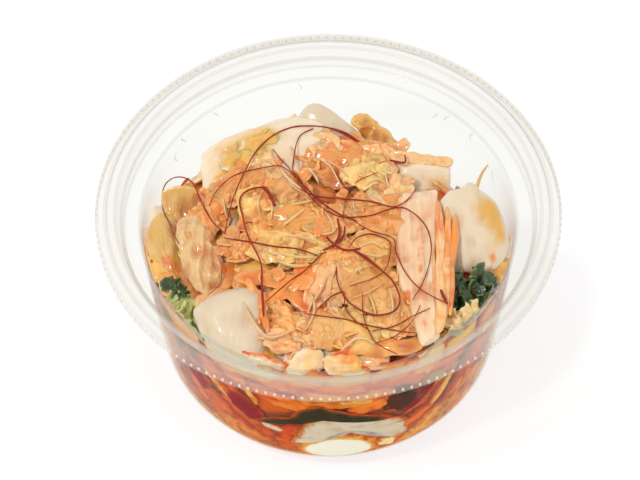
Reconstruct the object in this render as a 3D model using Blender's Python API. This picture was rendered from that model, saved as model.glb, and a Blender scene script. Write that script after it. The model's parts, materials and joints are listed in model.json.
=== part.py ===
"""A clear round deli bowl filled with chili oil cabbage.

Units are metres, +Z is up, and the origin is the centre of the bowl's resting ring.
The bowl is a thin turned shell with a knurled-skirt rim, a lid seat and a push-up base.
Inside it stand the chili oil, the heap of dressed leaf, and the large pieces set into the heap.
"""

import math

import bmesh
import bpy
from mathutils import Vector

MM = 0.001

# Driving sizes of the bowl
RIM_RADIUS = 64.5 * MM
HEIGHT = 62.0 * MM
WALL = 0.5 * MM
SKIRT_DROP = 3.2 * MM
BEAD_RADIUS = 1.1 * MM
FLANGE_INNER_RADIUS = 59.0 * MM
SEAT_OUTER_RADIUS = 57.2 * MM
SEAT_DEPTH = 6.3 * MM
BODY_TOP_RADIUS = 52.6 * MM
BODY_BOW = 0.45
CORNER_RADIUS = 12.2 * MM
CORNER_CENTRE_RADIUS = 37.05 * MM
CORNER_END_DEG = -6.4
RING_INNER_RADIUS = 31.5 * MM
PUSH_UP = 1.6 * MM
PUSH_UP_RADIUS = 28.5 * MM
ROUND_STEPS = 48
CORNER_STEPS = 4
BODY_STEPS = 3
BEAD_STEPS = 2
OIL_EDGE_STEPS = 3
SHARP_ANGLE_DEG = 40
MERGE_DISTANCE = 0.01 * MM

# Driving sizes of the filling
CLEARANCE = 0.3 * MM
OIL_LEVEL = 9.0 * MM
OIL_EDGE_END_DEG = -20
CREST_HEIGHT = 56.0 * MM
FRONT_DROP = 4.5 * MM
BACK_DROP = 25.0 * MM
LOWEST_BEARING_DEG = 70.0
FLAT_SHARE = 0.52
TOP_RINGS = 11
SIDE_RINGS = 5
POCKET_GAP = 0.35 * MM
POCKET_OPENING = 4.0 * MM
PIECE_STEPS = 16
PIECE_RINGS = 3
RIM_FULLNESS = 0.93
RIM_POWER = 4
RELIEF_FADE_POWER = 6
RIPPLES = 7

# Folds of the dressed leaf on the heap's top: height and wavelength in mm, direction and phase in degrees
FOLDS = (
    (0.90, 23.0, 20, 40),
    (0.75, 17.0, 105, 160),
    (0.60, 13.0, 65, 250),
    (0.50, 11.5, 150, 15),
)

# Each large piece, in mm: centre, length, width, turn in degrees, squareness (2 is an ellipse), taper,
# thickness, lift of its middle over the heap, crown of its middle, and ripple of a leafy edge.
PIECES = {
    "stem_back_left": dict(
        at=(-16, 14), length=43, width=25, turn=10, square=2.8, taper=0.20,
        thickness=5.0, lift=0.8, crown=1.2, ripple=0.0, material="stem"),
    "stem_back_centre": dict(
        at=(4, 33), length=27, width=9, turn=-22, square=2.4, taper=0.25,
        thickness=7.0, lift=2.2, crown=0.6, ripple=0.0, material="stem"),
    "stem_block_back_right": dict(
        at=(27, 15), length=17, width=12, turn=-6, square=4.0, taper=0.0,
        thickness=7.0, lift=1.2, crown=0.3, ripple=0.0, material="stem"),
    "stem_right": dict(
        at=(41, -2.5), length=26, width=14, turn=84, square=2.6, taper=-0.15,
        thickness=6.0, lift=2.6, crown=1.5, ripple=0.0, material="stem"),
    "stem_slab_long": dict(
        at=(23, -20), length=52, width=8.5, turn=87, square=4.0, taper=0.0,
        thickness=4.0, lift=1.0, crown=0.3, ripple=0.0, material="stem"),
    "carrot_bundle": dict(
        at=(31, -23), length=38, width=5.5, turn=88, square=3.0, taper=-0.1,
        thickness=4.0, lift=0.8, crown=0.2, ripple=0.25, material="carrot"),
    "green_leaf_right": dict(
        at=(39, -23.5), length=12, width=11, turn=10, square=2.4, taper=0.0,
        thickness=6.0, lift=0.8, crown=0.8, ripple=0.5, material="green"),
    "leaf_fold_left": dict(
        at=(-32.5, -15), length=28, width=13, turn=101, square=2.2, taper=-0.1,
        thickness=6.0, lift=1.0, crown=1.6, ripple=0.4, material="leaf"),
    "leaf_curl_left": dict(
        at=(-40, 6), length=15, width=13, turn=80, square=2.2, taper=0.2,
        thickness=6.0, lift=1.4, crown=1.4, ripple=0.3, material="leaf"),
    "green_leaf_left": dict(
        at=(-37, -30), length=9, width=6, turn=-54, square=2.2, taper=0.2,
        thickness=5.0, lift=0.5, crown=0.5, ripple=0.3, material="green"),
    "stem_front_left": dict(
        at=(-20, -38), length=22, width=19, turn=62, square=2.5, taper=0.15,
        thickness=6.0, lift=1.0, crown=1.6, ripple=0.0, material="stem"),
    "leaf_front_right": dict(
        at=(7, -43), length=24, width=10, turn=4, square=2.3, taper=0.0,
        thickness=5.0, lift=0.8, crown=1.0, ripple=0.4, material="leaf"),
}

# Colour, roughness and metallic value of each material; the plastic also has its transparency.
MATERIALS = {
    "plastic": ((0.93, 0.94, 0.92, 1.0), 0.06, 0.0),
    "oil": ((0.80, 0.20, 0.03, 1.0), 0.08, 0.0),
    "dressed": ((0.78, 0.36, 0.13, 1.0), 0.35, 0.0),
    "stem": ((0.82, 0.73, 0.58, 1.0), 0.28, 0.0),
    "leaf": ((0.76, 0.50, 0.18, 1.0), 0.34, 0.0),
    "green": ((0.05, 0.11, 0.03, 1.0), 0.30, 0.0),
    "carrot": ((0.86, 0.29, 0.05, 1.0), 0.30, 0.0),
}


def clear_scene():
    """Removes every object of the starting scene."""
    for obj in list(bpy.data.objects):
        bpy.data.objects.remove(obj)


def make_material(name):
    """A Principled material from the table of colours."""
    colour, roughness, metallic = MATERIALS[name]
    material = bpy.data.materials.new(name)
    material.use_nodes = True
    shader = material.node_tree.nodes["Principled BSDF"]
    shader.inputs["Base Color"].default_value = colour
    shader.inputs["Roughness"].default_value = roughness
    shader.inputs["Metallic"].default_value = metallic
    if name == "plastic":
        shader.inputs["Transmission Weight"].default_value = 1.0
    return material


def add_object(name, mesh_builder, material):
    """Turns a bmesh into a smooth-shaded object of the scene."""
    bmesh.ops.recalc_face_normals(mesh_builder, faces=mesh_builder.faces)
    mesh = bpy.data.meshes.new(name)
    mesh_builder.to_mesh(mesh)
    mesh_builder.free()
    mesh.shade_smooth()
    mesh.set_sharp_from_angle(angle=math.radians(SHARP_ANGLE_DEG))
    mesh.materials.append(material)
    obj = bpy.data.objects.new(name, mesh)
    bpy.context.scene.collection.objects.link(obj)
    return obj


def turned(name, profile, material):
    """Spins a closed profile of (radius, height) points once round the Z axis."""
    shape = bmesh.new()
    points = [shape.verts.new((radius, 0.0, height)) for radius, height in profile]
    edges = [shape.edges.new(pair) for pair in zip(points, points[1:] + points[:1])]
    bmesh.ops.spin(
        shape, geom=points + edges, cent=(0, 0, 0), axis=(0, 0, 1),
        angle=math.tau, steps=ROUND_STEPS)
    bmesh.ops.remove_doubles(shape, verts=shape.verts, dist=MERGE_DISTANCE)
    return add_object(name, shape, material)


def arc(centre_radius, centre_height, radius, start_deg, end_deg, count):
    """Points of an arc in the (radius, height) plane, both ends included."""
    angles = [math.radians(start_deg + (end_deg - start_deg) * i / count) for i in range(count + 1)]
    return [(centre_radius + radius * math.cos(a), centre_height + radius * math.sin(a)) for a in angles]


def body_line(count):
    """Outer face of the bowl's body, from the top of the base corner up to the lid seat."""
    end = math.radians(CORNER_END_DEG)
    foot_radius = CORNER_CENTRE_RADIUS + CORNER_RADIUS * math.cos(end)
    foot_height = CORNER_RADIUS * (1 + math.sin(end))
    top_height = HEIGHT - SEAT_DEPTH - WALL
    points = []
    for i in range(1, count + 1):
        share = i / count
        eased = (1 + BODY_BOW) * share - BODY_BOW * share**2
        radius = foot_radius + (BODY_TOP_RADIUS - foot_radius) * eased
        points.append((radius, foot_height + (top_height - foot_height) * share))
    return points


def bowl_outer_line():
    """Outer, lower face of the whole shell from the middle of the base to the skirt's edge."""
    bead_centre = RIM_RADIUS - BEAD_RADIUS
    line = [(0.0, PUSH_UP), (PUSH_UP_RADIUS, PUSH_UP), (RING_INNER_RADIUS, 0.0)]
    line += arc(CORNER_CENTRE_RADIUS, CORNER_RADIUS, CORNER_RADIUS, -90, CORNER_END_DEG, CORNER_STEPS)
    line += body_line(BODY_STEPS)
    line.append((SEAT_OUTER_RADIUS, HEIGHT - SEAT_DEPTH - WALL))
    line.append((FLANGE_INNER_RADIUS, HEIGHT - WALL))
    line += arc(bead_centre, HEIGHT - BEAD_RADIUS, BEAD_RADIUS - WALL, 90, 0, BEAD_STEPS)
    line.append((RIM_RADIUS - WALL, HEIGHT - SKIRT_DROP))
    return line


def offset_inward(line, distance):
    """The same line moved to its left-hand side, which is the bowl's inside and top."""
    moved = []
    for i, (radius, height) in enumerate(line):
        before = Vector(line[max(i - 1, 0)])
        after = Vector(line[min(i + 1, len(line) - 1)])
        along = (after - before).normalized()
        left = Vector((-along.y, along.x)) * distance
        moved.append((radius + left.x, min(height + left.y, HEIGHT)))
    moved[0] = (0.0, line[0][1] + distance)
    return moved


def inner_radius(height):
    """Radius of the bowl's inner face at a height between the base corner and the lid seat."""
    line = arc(CORNER_CENTRE_RADIUS, CORNER_RADIUS, CORNER_RADIUS, -90, CORNER_END_DEG, CORNER_STEPS)
    line += body_line(BODY_STEPS)
    for (r0, z0), (r1, z1) in zip(line, line[1:]):
        if z0 <= height <= z1:
            share = (height - z0) / (z1 - z0)
            return r0 + (r1 - r0) * share - WALL
    return BODY_TOP_RADIUS - WALL


def make_bowl(material):
    """The clear shell: base, body, lid seat, flange, bead and skirt in one piece."""
    outer = bowl_outer_line()
    inner = offset_inward(outer, WALL)
    turned("bowl", outer + inner[::-1], material)


def make_oil(material):
    """The pool of chili oil in the bottom, up to its level."""
    floor = WALL + CLEARANCE
    edge = arc(CORNER_CENTRE_RADIUS, CORNER_RADIUS, CORNER_RADIUS - floor, -90, OIL_EDGE_END_DEG, OIL_EDGE_STEPS)
    profile = [(0.0, PUSH_UP + floor), (PUSH_UP_RADIUS + floor, PUSH_UP + floor)]
    profile += [(RING_INNER_RADIUS + floor, floor)] + edge
    profile += [(inner_radius(OIL_LEVEL) - 2 * CLEARANCE, OIL_LEVEL), (0.0, OIL_LEVEL)]
    turned("chili_oil", profile, material)


def heap_level(x, y):
    """Height of the heap's smooth top: nearly level, then falling away to the wall, most at the back right."""
    reach = math.hypot(x, y) / (BODY_TOP_RADIUS - WALL)
    turn = math.atan2(y, x) - math.radians(LOWEST_BEARING_DEG)
    drop = FRONT_DROP + (BACK_DROP - FRONT_DROP) * ((1 + math.cos(turn)) / 2) ** 2
    slope = max(0.0, (reach - FLAT_SHARE) / (1 - FLAT_SHARE))
    return CREST_HEIGHT - drop * slope**2


def heap_relief(x, y):
    """The uneven lie of the dressed leaf between the large pieces, as a sum of crossing folds."""
    relief = 0.0
    for height, wavelength, direction, phase in FOLDS:
        along = x * math.cos(math.radians(direction)) + y * math.sin(math.radians(direction))
        relief += height * MM * math.sin(math.tau * along / (wavelength * MM) + math.radians(phase))
    return relief


def heap_grid():
    """Rings of points from the heap's middle, over its top, and down its side to the oil."""
    top_edge = inner_radius(HEIGHT - SEAT_DEPTH) - 2 * CLEARANCE
    rings = []
    for i in range(1, TOP_RINGS + 1):
        rings.append([])
        for j in range(ROUND_STEPS):
            angle = math.tau * j / ROUND_STEPS
            edge = heap_edge(angle)
            radius = edge[0] * i / TOP_RINGS
            x, y = radius * math.cos(angle), radius * math.sin(angle)
            height = heap_level(x, y) + heap_relief(x, y) * (1 - (i / TOP_RINGS) ** RELIEF_FADE_POWER)
            rings[-1].append((x, y, edge[1] if i == TOP_RINGS else height))
    floor = OIL_LEVEL + CLEARANCE
    for i in range(1, SIDE_RINGS + 1):
        rings.append([])
        for j in range(ROUND_STEPS):
            angle = math.tau * j / ROUND_STEPS
            height = heap_edge(angle)[1] + (floor - heap_edge(angle)[1]) * i / SIDE_RINGS
            radius = min(inner_radius(height) - 2 * CLEARANCE, top_edge)
            rings[-1].append((radius * math.cos(angle), radius * math.sin(angle), height))
    return rings, floor


def heap_edge(angle):
    """(radius, height) where the heap's top meets the wall in this direction."""
    reach = BODY_TOP_RADIUS - WALL
    height = heap_level(reach * math.cos(angle), reach * math.sin(angle))
    height = min(height, HEIGHT - SEAT_DEPTH - 2 * CLEARANCE)
    return inner_radius(height) - 2 * CLEARANCE, height


def bridge_rings(shape, rings, first, last):
    """Joins rings of points into a closed body, with a point at each end."""
    loops = [[shape.verts.new(point) for point in ring] for ring in rings]
    for near, far in zip(loops, loops[1:]):
        count = len(near)
        for j in range(count):
            shape.faces.new((near[j], near[(j + 1) % count], far[(j + 1) % count], far[j]))
    for loop, tip in ((loops[0], shape.verts.new(first)), (loops[-1], shape.verts.new(last))):
        for j in range(len(loop)):
            shape.faces.new((tip, loop[j], loop[(j + 1) % len(loop)]))


def make_heap(material):
    """The heap of dressed leaf as one solid, out to its uneven outline."""
    rings, floor = heap_grid()
    shape = bmesh.new()
    peak = (0.0, 0.0, heap_level(0, 0) + heap_relief(0, 0))
    bridge_rings(shape, rings, peak, (0.0, 0.0, floor))
    return add_object("cabbage_heap", shape, material)


def piece_point(piece, angle, share, side, grow):
    """A point of a large piece: share runs from its middle, 0, to its rim, 1; side is up, 1, or down, -1.

    A piece stops short of the wall. A grown piece is a pocket, whose top stands open over the heap.
    """
    corner = 2 / piece["square"]
    along = math.copysign(abs(math.cos(angle)) ** corner, math.cos(angle))
    across = math.copysign(abs(math.sin(angle)) ** corner, math.sin(angle))
    half_length = piece["length"] * MM / 2 + grow
    half_width = (piece["width"] * MM / 2) * (1 + piece["taper"] * along) + grow
    u, v = along * half_length * share, across * half_width * share
    turn = math.radians(piece["turn"])
    x = piece["at"][0] * MM + u * math.cos(turn) - v * math.sin(turn)
    y = piece["at"][1] * MM + u * math.sin(turn) + v * math.cos(turn)
    limit = inner_radius(HEIGHT - SEAT_DEPTH) - 4 * CLEARANCE
    reach = math.hypot(x, y)
    if reach > limit and not grow:
        x, y = x * limit / reach, y * limit / reach
    middle = heap_level(x, y) + (piece["lift"] + piece["crown"] * (1 - share**2)) * MM
    middle += piece["ripple"] * MM * math.sin(RIPPLES * angle) * share**2
    half = piece["thickness"] * MM / 2 + grow
    if side > 0 and grow > 0:
        half += POCKET_OPENING
    return x, y, middle + side * half * math.sqrt(1 - (share * RIM_FULLNESS) ** RIM_POWER)


def make_piece(name, piece, material, grow=0.0):
    """One large piece lying in the heap; grow makes the cutter of its pocket."""
    shape = bmesh.new()
    rings = []
    shares = [(i / PIECE_RINGS, 1) for i in range(1, PIECE_RINGS + 1)]
    shares += [(i / PIECE_RINGS, -1) for i in range(PIECE_RINGS, 0, -1)]
    for share, side in shares:
        angles = [math.tau * j / PIECE_STEPS for j in range(PIECE_STEPS)]
        rings.append([piece_point(piece, angle, share, side, grow) for angle in angles])
    bridge_rings(shape, rings, piece_point(piece, 0, 0, 1, grow), piece_point(piece, 0, 0, -1, grow))
    return add_object(name, shape, material)


def make_pocket(name, piece, material):
    """The cutter that leaves a thin gap all round one large piece."""
    cutter = make_piece(name + "_pocket", piece, material, POCKET_GAP)
    cutter.hide_render = True
    cutter.display_type = "WIRE"
    return cutter


def cut_pocket(body, cutter):
    """Cuts the pocket of one piece into the body it lies in."""
    cut = body.modifiers.new(cutter.name, "BOOLEAN")
    cut.operation = "DIFFERENCE"
    cut.solver = "EXACT"
    cut.object = cutter


def touches(one, other):
    """Whether two large pieces lie so close that their outlines may meet."""
    apart = math.dist(one["at"], other["at"])
    return apart < (one["length"] + other["length"]) / 2


def main():
    """Builds the bowl, the oil, the heap and the large pieces in their pockets."""
    clear_scene()
    materials = {name: make_material(name) for name in MATERIALS}
    make_bowl(materials["plastic"])
    make_oil(materials["oil"])
    heap = make_heap(materials["dressed"])
    below = []
    for name, piece in PIECES.items():
        pocket = make_pocket(name, piece, materials["dressed"])
        cut_pocket(heap, pocket)
        for lower_piece, lower_body in below:
            if touches(lower_piece, piece):
                cut_pocket(lower_body, pocket)
        below.append((piece, make_piece(name, piece, materials[piece["material"]])))


main()
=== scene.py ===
"""Looks of a clear round deli bowl of chili oil cabbage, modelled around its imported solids.

Lengths are in millimetres, and become metres where a mesh is made. The front of the bowl is at -Y,
and a bearing is counted in degrees from the front, positive to the right.
"""

import json
import logging
import math
from dataclasses import dataclass, field, replace
from enum import Enum
from typing import Callable, Optional, Sequence, Union

import bmesh
import bpy
import numpy as np
from mathutils import Euler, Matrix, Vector
from mathutils.bvhtree import BVHTree

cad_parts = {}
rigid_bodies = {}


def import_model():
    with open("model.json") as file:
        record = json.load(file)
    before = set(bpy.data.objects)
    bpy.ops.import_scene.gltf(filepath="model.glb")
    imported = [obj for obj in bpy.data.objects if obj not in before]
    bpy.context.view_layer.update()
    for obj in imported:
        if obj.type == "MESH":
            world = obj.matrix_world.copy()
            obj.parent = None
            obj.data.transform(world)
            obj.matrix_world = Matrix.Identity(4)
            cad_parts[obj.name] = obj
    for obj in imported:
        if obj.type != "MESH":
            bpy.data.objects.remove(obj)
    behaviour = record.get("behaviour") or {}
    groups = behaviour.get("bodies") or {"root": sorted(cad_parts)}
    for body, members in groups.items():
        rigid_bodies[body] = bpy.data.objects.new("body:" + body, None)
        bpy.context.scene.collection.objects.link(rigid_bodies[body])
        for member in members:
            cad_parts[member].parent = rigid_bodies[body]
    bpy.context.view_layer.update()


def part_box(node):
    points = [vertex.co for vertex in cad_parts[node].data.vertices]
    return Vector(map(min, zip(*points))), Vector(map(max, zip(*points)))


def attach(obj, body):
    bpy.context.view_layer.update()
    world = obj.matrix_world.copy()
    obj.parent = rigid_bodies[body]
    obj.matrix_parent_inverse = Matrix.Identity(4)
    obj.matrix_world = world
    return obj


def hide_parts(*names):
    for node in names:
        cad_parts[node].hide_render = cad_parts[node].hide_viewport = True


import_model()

LOG = logging.getLogger("bowl_of_cabbage")
MM = 0.001
BODY = "root"
BOWL_LOW, BOWL_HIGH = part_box("bowl")
RIM_RADIUS = (BOWL_HIGH.x - BOWL_LOW.x) / 2 / MM
HEIGHT = BOWL_HIGH.z / MM
SERVING_ANGLE = math.radians(50.65)

Colour = tuple[float, float, float]
Point2 = tuple[float, float]
Point3 = tuple[float, float, float]
Value = Union["Wire", float]


def srgb(code: str) -> Colour:
    """A colour given as a screen shows it.

    Args:
        code: two hexadecimal digits each for red, green and blue.

    Returns:
        The same colour in the linear values that shaders take.
    """
    shares = (value / 255 for value in bytes.fromhex(code))
    return tuple(s / 12.92 if s <= 0.04045 else ((s + 0.055) / 1.055) ** 2.4 for s in shares)


# ---------------------------------------------------------------- shader expressions


class Wire:
    """A value in a shader, on which Python's operators add Math nodes."""

    def __init__(self, graph: "Graph", socket: bpy.types.NodeSocket) -> None:
        """Wraps one output socket of a graph."""
        self.graph = graph
        self.socket = socket

    def _math(self, operation: str, *values: Value) -> "Wire":
        """Adds a Math node.

        Args:
            operation: the node's operation.
            values: its inputs, in order.

        Returns:
            The result.
        """
        return self.graph.wire("ShaderNodeMath", {"operation": operation}, dict(enumerate(values)))

    def __add__(self, other: Value) -> "Wire":
        """Sum."""
        return self._math("ADD", self, other)

    __radd__ = __add__

    def __sub__(self, other: Value) -> "Wire":
        """Difference."""
        return self._math("SUBTRACT", self, other)

    def __rsub__(self, other: float) -> "Wire":
        """Difference from a number."""
        return self._math("SUBTRACT", other, self)

    def __mul__(self, other: Value) -> "Wire":
        """Product."""
        return self._math("MULTIPLY", self, other)

    __rmul__ = __mul__

    def __pow__(self, other: float) -> "Wire":
        """Power."""
        return self._math("POWER", self, other)

    def clamp(self) -> "Wire":
        """The value kept between 0 and 1."""
        return self._math("MINIMUM", self._math("MAXIMUM", self, 0.0), 1.0)

    def step(self, low: float, high: float) -> "Wire":
        """A smooth step.

        Args:
            low: where the result leaves 0.
            high: where the result reaches 1.

        Returns:
            The stepped value.
        """
        settings = {"interpolation_type": "SMOOTHSTEP"}
        sockets = {"Value": self, "From Min": low, "From Max": high}
        return self.graph.wire("ShaderNodeMapRange", settings, sockets)


class Graph:
    """A node tree that is built by calls."""

    def __init__(self, tree: bpy.types.NodeTree) -> None:
        """Starts from an emptied tree."""
        self.tree = tree
        tree.nodes.clear()

    def node(self, kind: str, settings: Optional[dict] = None,
             sockets: Optional[dict] = None) -> bpy.types.Node:
        """Adds a node.

        Args:
            kind: the node's type.
            settings: its properties, set before its sockets.
            sockets: values or wires by socket name or number.

        Returns:
            The node.
        """
        made = self.tree.nodes.new(kind)
        for name, value in (settings or {}).items():
            setattr(made, name, value)
        for key, value in (sockets or {}).items():
            source = getattr(value, "socket", value)
            if isinstance(source, bpy.types.NodeSocket):
                self.tree.links.new(source, made.inputs[key])
            else:
                target = made.inputs[key]
                target.default_value = (*value, 1.0) if target.type == "RGBA" else value
        return made

    def wire(self, kind: str, settings: Optional[dict] = None, sockets: Optional[dict] = None,
             output: Union[str, int] = 0) -> Wire:
        """Adds a node and returns one of its outputs; the arguments are those of node()."""
        return Wire(self, self.node(kind, settings, sockets).outputs[output])

    def attribute(self, name: str) -> Wire:
        """A value that the mesh carries."""
        return self.wire("ShaderNodeAttribute", {"attribute_name": name}, output="Fac")

    def place(self) -> Wire:
        """The place on the piece, in metres."""
        return self.wire("ShaderNodeTexCoord", output="Object")

    def noise(self, size: float, detail: float, twist: float = 0.0) -> Wire:
        """Soft noise.

        Args:
            size: the blotches' size in mm.
            detail: how many finer layers are added.
            twist: how far the pattern is distorted.

        Returns:
            The noise, around a half.
        """
        sockets = {"Vector": self.place(), "Scale": 1.0 / (size * MM), "Detail": detail,
                   "Distortion": twist}
        return self.wire("ShaderNodeTexNoise", {}, sockets)

    def streaks(self, size: float, length: float) -> Wire:
        """Noise drawn out along the piece's own grain; both sizes are in mm."""
        spot = self.wire("ShaderNodeCombineXYZ", {}, {
            0: self.attribute("across") * (1 / size), 1: self.attribute("along") * (1 / length)})
        sockets = {"Vector": spot, "Scale": 1.0, "Detail": 3.0, "Distortion": 0.3}
        return self.wire("ShaderNodeTexNoise", {}, sockets)

    def blend(self, share: Value, one: Union[Wire, Colour], other: Union[Wire, Colour]) -> Wire:
        """Mixes two colours: one at a share of 0, other at 1."""
        sockets = {"Factor": share, 6: one, 7: other}
        return self.wire("ShaderNodeMix", {"data_type": "RGBA"}, sockets, output=2)

    def bump(self, height: Wire, depth: float) -> Wire:
        """A bump of a depth in mm that feeds a Normal socket."""
        return self.wire("ShaderNodeBump", {}, {"Height": height, "Distance": depth * MM, "Strength": 1.0})

    def mix(self, share: Value, one: Wire, other: Wire) -> Wire:
        """Mixes two shaders: one at a share of 0, other at 1."""
        return self.wire("ShaderNodeMixShader", {}, {0: share, 1: one, 2: other})

    def grazing(self, sharpness: float) -> Wire:
        """How far the surface is seen edge on, from 0 to 1, whichever side it is seen from."""
        return self.wire("ShaderNodeLayerWeight", {}, {"Blend": 0.5}, "Facing") ** sharpness

    def principled(self, **sockets: object) -> Wire:
        """A Principled shader; a socket's spaces are written as underscores."""
        spaced = {name.replace("_", " "): value for name, value in sockets.items()}
        return self.wire("ShaderNodeBsdfPrincipled", {}, spaced)


# ---------------------------------------------------------------- finishes

MATERIALS: dict["Finish", bpy.types.Material] = {}
SPICE = srgb("962812")


@dataclass(frozen=True)
class Finish:
    """A material that is built once and shared."""

    name: str

    def dress(self, graph: Graph) -> Wire:
        """Builds the nodes.

        Args:
            graph: the material's emptied graph.

        Returns:
            The surface shader.
        """
        raise NotImplementedError

    def material(self) -> bpy.types.Material:
        """Makes the material, when it is first asked for.

        Returns:
            The material of this finish.
        """
        if self in MATERIALS:
            return MATERIALS[self]
        made = MATERIALS[self] = bpy.data.materials.new("look_" + self.name)
        made.use_nodes = True
        graph = Graph(made.node_tree)
        graph.node("ShaderNodeOutputMaterial", {}, {"Surface": self.dress(graph)})
        return made


@dataclass(frozen=True)
class Moist(Finish):
    """Moist vegetable: two flesh colours, a paler edge that is partly painted highlight, oily stains,
    painted shade in creases, and a gloss.
    """

    flesh: Colour = (0.8, 0.7, 0.5)
    # paler edge: partly the leaf's own paler rim, partly a painted highlight
    pale: Colour = (0.9, 0.85, 0.7)
    second: Colour = (0.8, 0.6, 0.2)
    stain: Colour = (0.8, 0.3, 0.05)
    # colour of the painted shade laid in creases and low spots
    hollow: Colour = (0.4, 0.1, 0.02)
    grain: float = 2.2
    relief: float = 0.25
    roughness: float = 0.3
    glow: float = 0.25
    speckle: float = 0.0
    streak: float = 0.0
    streak_length: float = 14.0
    wet: float = 1.0
    rim: float = 0.85
    # how strongly the painted shade darkens the creases
    depth: float = 0.8

    def dress(self, graph: Graph) -> Wire:
        """Builds the nodes.

        Args:
            graph: the material's emptied graph.

        Returns:
            The flesh, mixed by the mesh's own values and by noise.
        """
        broad = graph.noise(self.grain * 4, 2.0, 0.6)
        fine = graph.noise(self.grain, 4.0, 0.3)
        relief = fine + broad * 0.6
        oil = graph.attribute("oil") + (broad - 0.5) * 1.3 + (fine - 0.5) * 0.5
        if self.streak:
            streaks = graph.streaks(self.streak, self.streak * self.streak_length)
            relief = relief * 0.7 + streaks * 1.6
            oil = oil + (streaks - 0.5) * 0.9
            fine = fine * 0.4 + streaks * 0.6
        oil = oil.step(0.35, 0.85)
        # the paler edge, partly a painted highlight
        paleness = (graph.attribute("edge") + (fine - 0.5) * 0.8).step(0.35, 1.0)
        # painted shade: darker where the mesh marks a crease or low spot, and in spots laid on some pieces
        depth = (graph.attribute("hollow") + (fine - 0.5) * 0.5).step(0.3, 1.05)
        other = (graph.attribute("second") + (broad - 0.5) * 1.8 + (fine - 0.5) * 0.9).step(0.15, 1.0)
        colour = graph.blend(other, self.flesh, self.second)
        colour = graph.blend(paleness * self.rim, colour, self.pale)
        colour = graph.blend(oil * 0.9, colour, self.stain)
        colour = graph.blend(depth * self.depth, colour, self.hollow)
        tint = graph.attribute("tint") * 0.35 + 0.82
        colour = graph.wire("ShaderNodeVectorMath", {"operation": "SCALE"}, {0: colour, "Scale": tint})
        if self.speckle:
            sockets = {"Vector": graph.place(), "Scale": 1 / (1.9 * MM)}
            spots = graph.wire("ShaderNodeTexVoronoi", {}, sockets)
            colour = graph.blend((0.16 - spots).step(0.0, 0.05) * self.speckle, colour, SPICE)
        return graph.principled(
            Base_Color=colour, Roughness=(fine - 0.5) * 0.3 + self.roughness, IOR=1.42,
            Normal=graph.bump(relief, self.relief), Coat_Weight=0.6 * self.wet, Coat_Roughness=0.07,
            Specular_IOR_Level=0.5 * self.wet,
            Subsurface_Weight=self.glow, Subsurface_Radius=(1.0, 0.8, 0.62), Subsurface_Scale=0.8 * MM)


@dataclass(frozen=True)
class Clear(Finish):
    """Clear thin plastic or water: see-through face on, a little milky, and greyer seen edge on."""

    tint: Colour = (0.972, 0.976, 0.958)
    milk: Colour = (0.5, 0.49, 0.45)
    milkiness: float = 0.002
    edge_share: float = 0.5
    sharpness: float = 6.0
    corner_share: float = 0.12
    gloss: float = 0.05
    mirror: float = 1.0
    haze: float = 0.0

    def dress(self, graph: Graph) -> Wire:
        """Builds the nodes.

        Args:
            graph: the material's emptied graph.

        Returns:
            A see-through shader, a milky one and a gloss.
        """
        waves = graph.noise(6.0, 2.0)
        clear = graph.wire("ShaderNodeBsdfTransparent", {}, {"Color": self.tint})
        milky = graph.principled(Base_Color=self.milk, Roughness=0.3)
        share = graph.grazing(self.sharpness) * self.edge_share + self.milkiness
        # The marked moulded corners get a painted grey line, standing in for the light the real plastic
        # bends there.
        share = share + graph.attribute("edge") * self.corner_share
        body = graph.mix(share.clamp(), clear, milky)
        if self.haze:
            cloudy = graph.principled(Base_Color=(0.86, 0.8, 0.72), Roughness=0.6, Specular_IOR_Level=0.1)
            body = graph.mix(graph.attribute("tint") * self.haze, body, cloudy)
        shine = graph.wire("ShaderNodeBsdfGlossy", {}, {
            "Color": (1.0, 1.0, 1.0), "Roughness": self.gloss, "Normal": graph.bump(waves, 0.12)})
        mirror = graph.grazing(7.0) * (0.6 * self.mirror) + 0.002 * self.mirror
        return graph.mix(mirror.clamp(), body, shine)


@dataclass(frozen=True)
class Oil(Finish):
    """Chili oil against the wall: clear orange with cloudier red patches."""

    thin: Colour = (1.0, 0.55, 0.12)
    cloud: Colour = (0.75, 0.16, 0.02)
    bright: Colour = srgb("de741a")
    cover: float = 0.55
    patch: float = 7.0
    low: float = 0.3
    high: float = 0.7

    def dress(self, graph: Graph) -> Wire:
        """Builds the nodes.

        Args:
            graph: the material's emptied graph.

        Returns:
            Tinted clearness with coloured patches.
        """
        patches = graph.noise(self.patch, 4.0, 0.8)
        amount = graph.attribute("oil") + (patches - 0.5) * 1.6
        clear = graph.wire("ShaderNodeBsdfTransparent", {}, {"Color": self.thin})
        colour = graph.blend(patches.step(0.35, 0.7), self.bright, self.cloud)
        cloudy = graph.principled(Base_Color=colour, Roughness=0.4, Specular_IOR_Level=0.1)
        return graph.mix(amount.step(self.low, self.high) * self.cover, clear, cloudy)


@dataclass(frozen=True)
class Paint(Finish):
    """A plain matt surface for the stage, lit a little from below."""

    colour: Colour = (0.26, 0.26, 0.26)
    light: float = 0.77

    def dress(self, graph: Graph) -> Wire:
        """One rough colour and its own even light."""
        return graph.principled(
            Base_Color=self.colour, Roughness=1.0, Specular_IOR_Level=0.0, Emission_Color=(1.0, 1.0, 1.0),
            Emission_Strength=self.light)


def moist(name: str, shades: str, **looks: float) -> Moist:
    """A finish of the food.

    Args:
        name: its name.
        shades: the codes of its flesh, its pale edge (partly a painted highlight), its second colour, its
            stain and its painted shade.
        looks: its other values, by name.

    Returns:
        The finish.
    """
    return Moist(name, *map(srgb, shades.split()), **looks)


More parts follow.
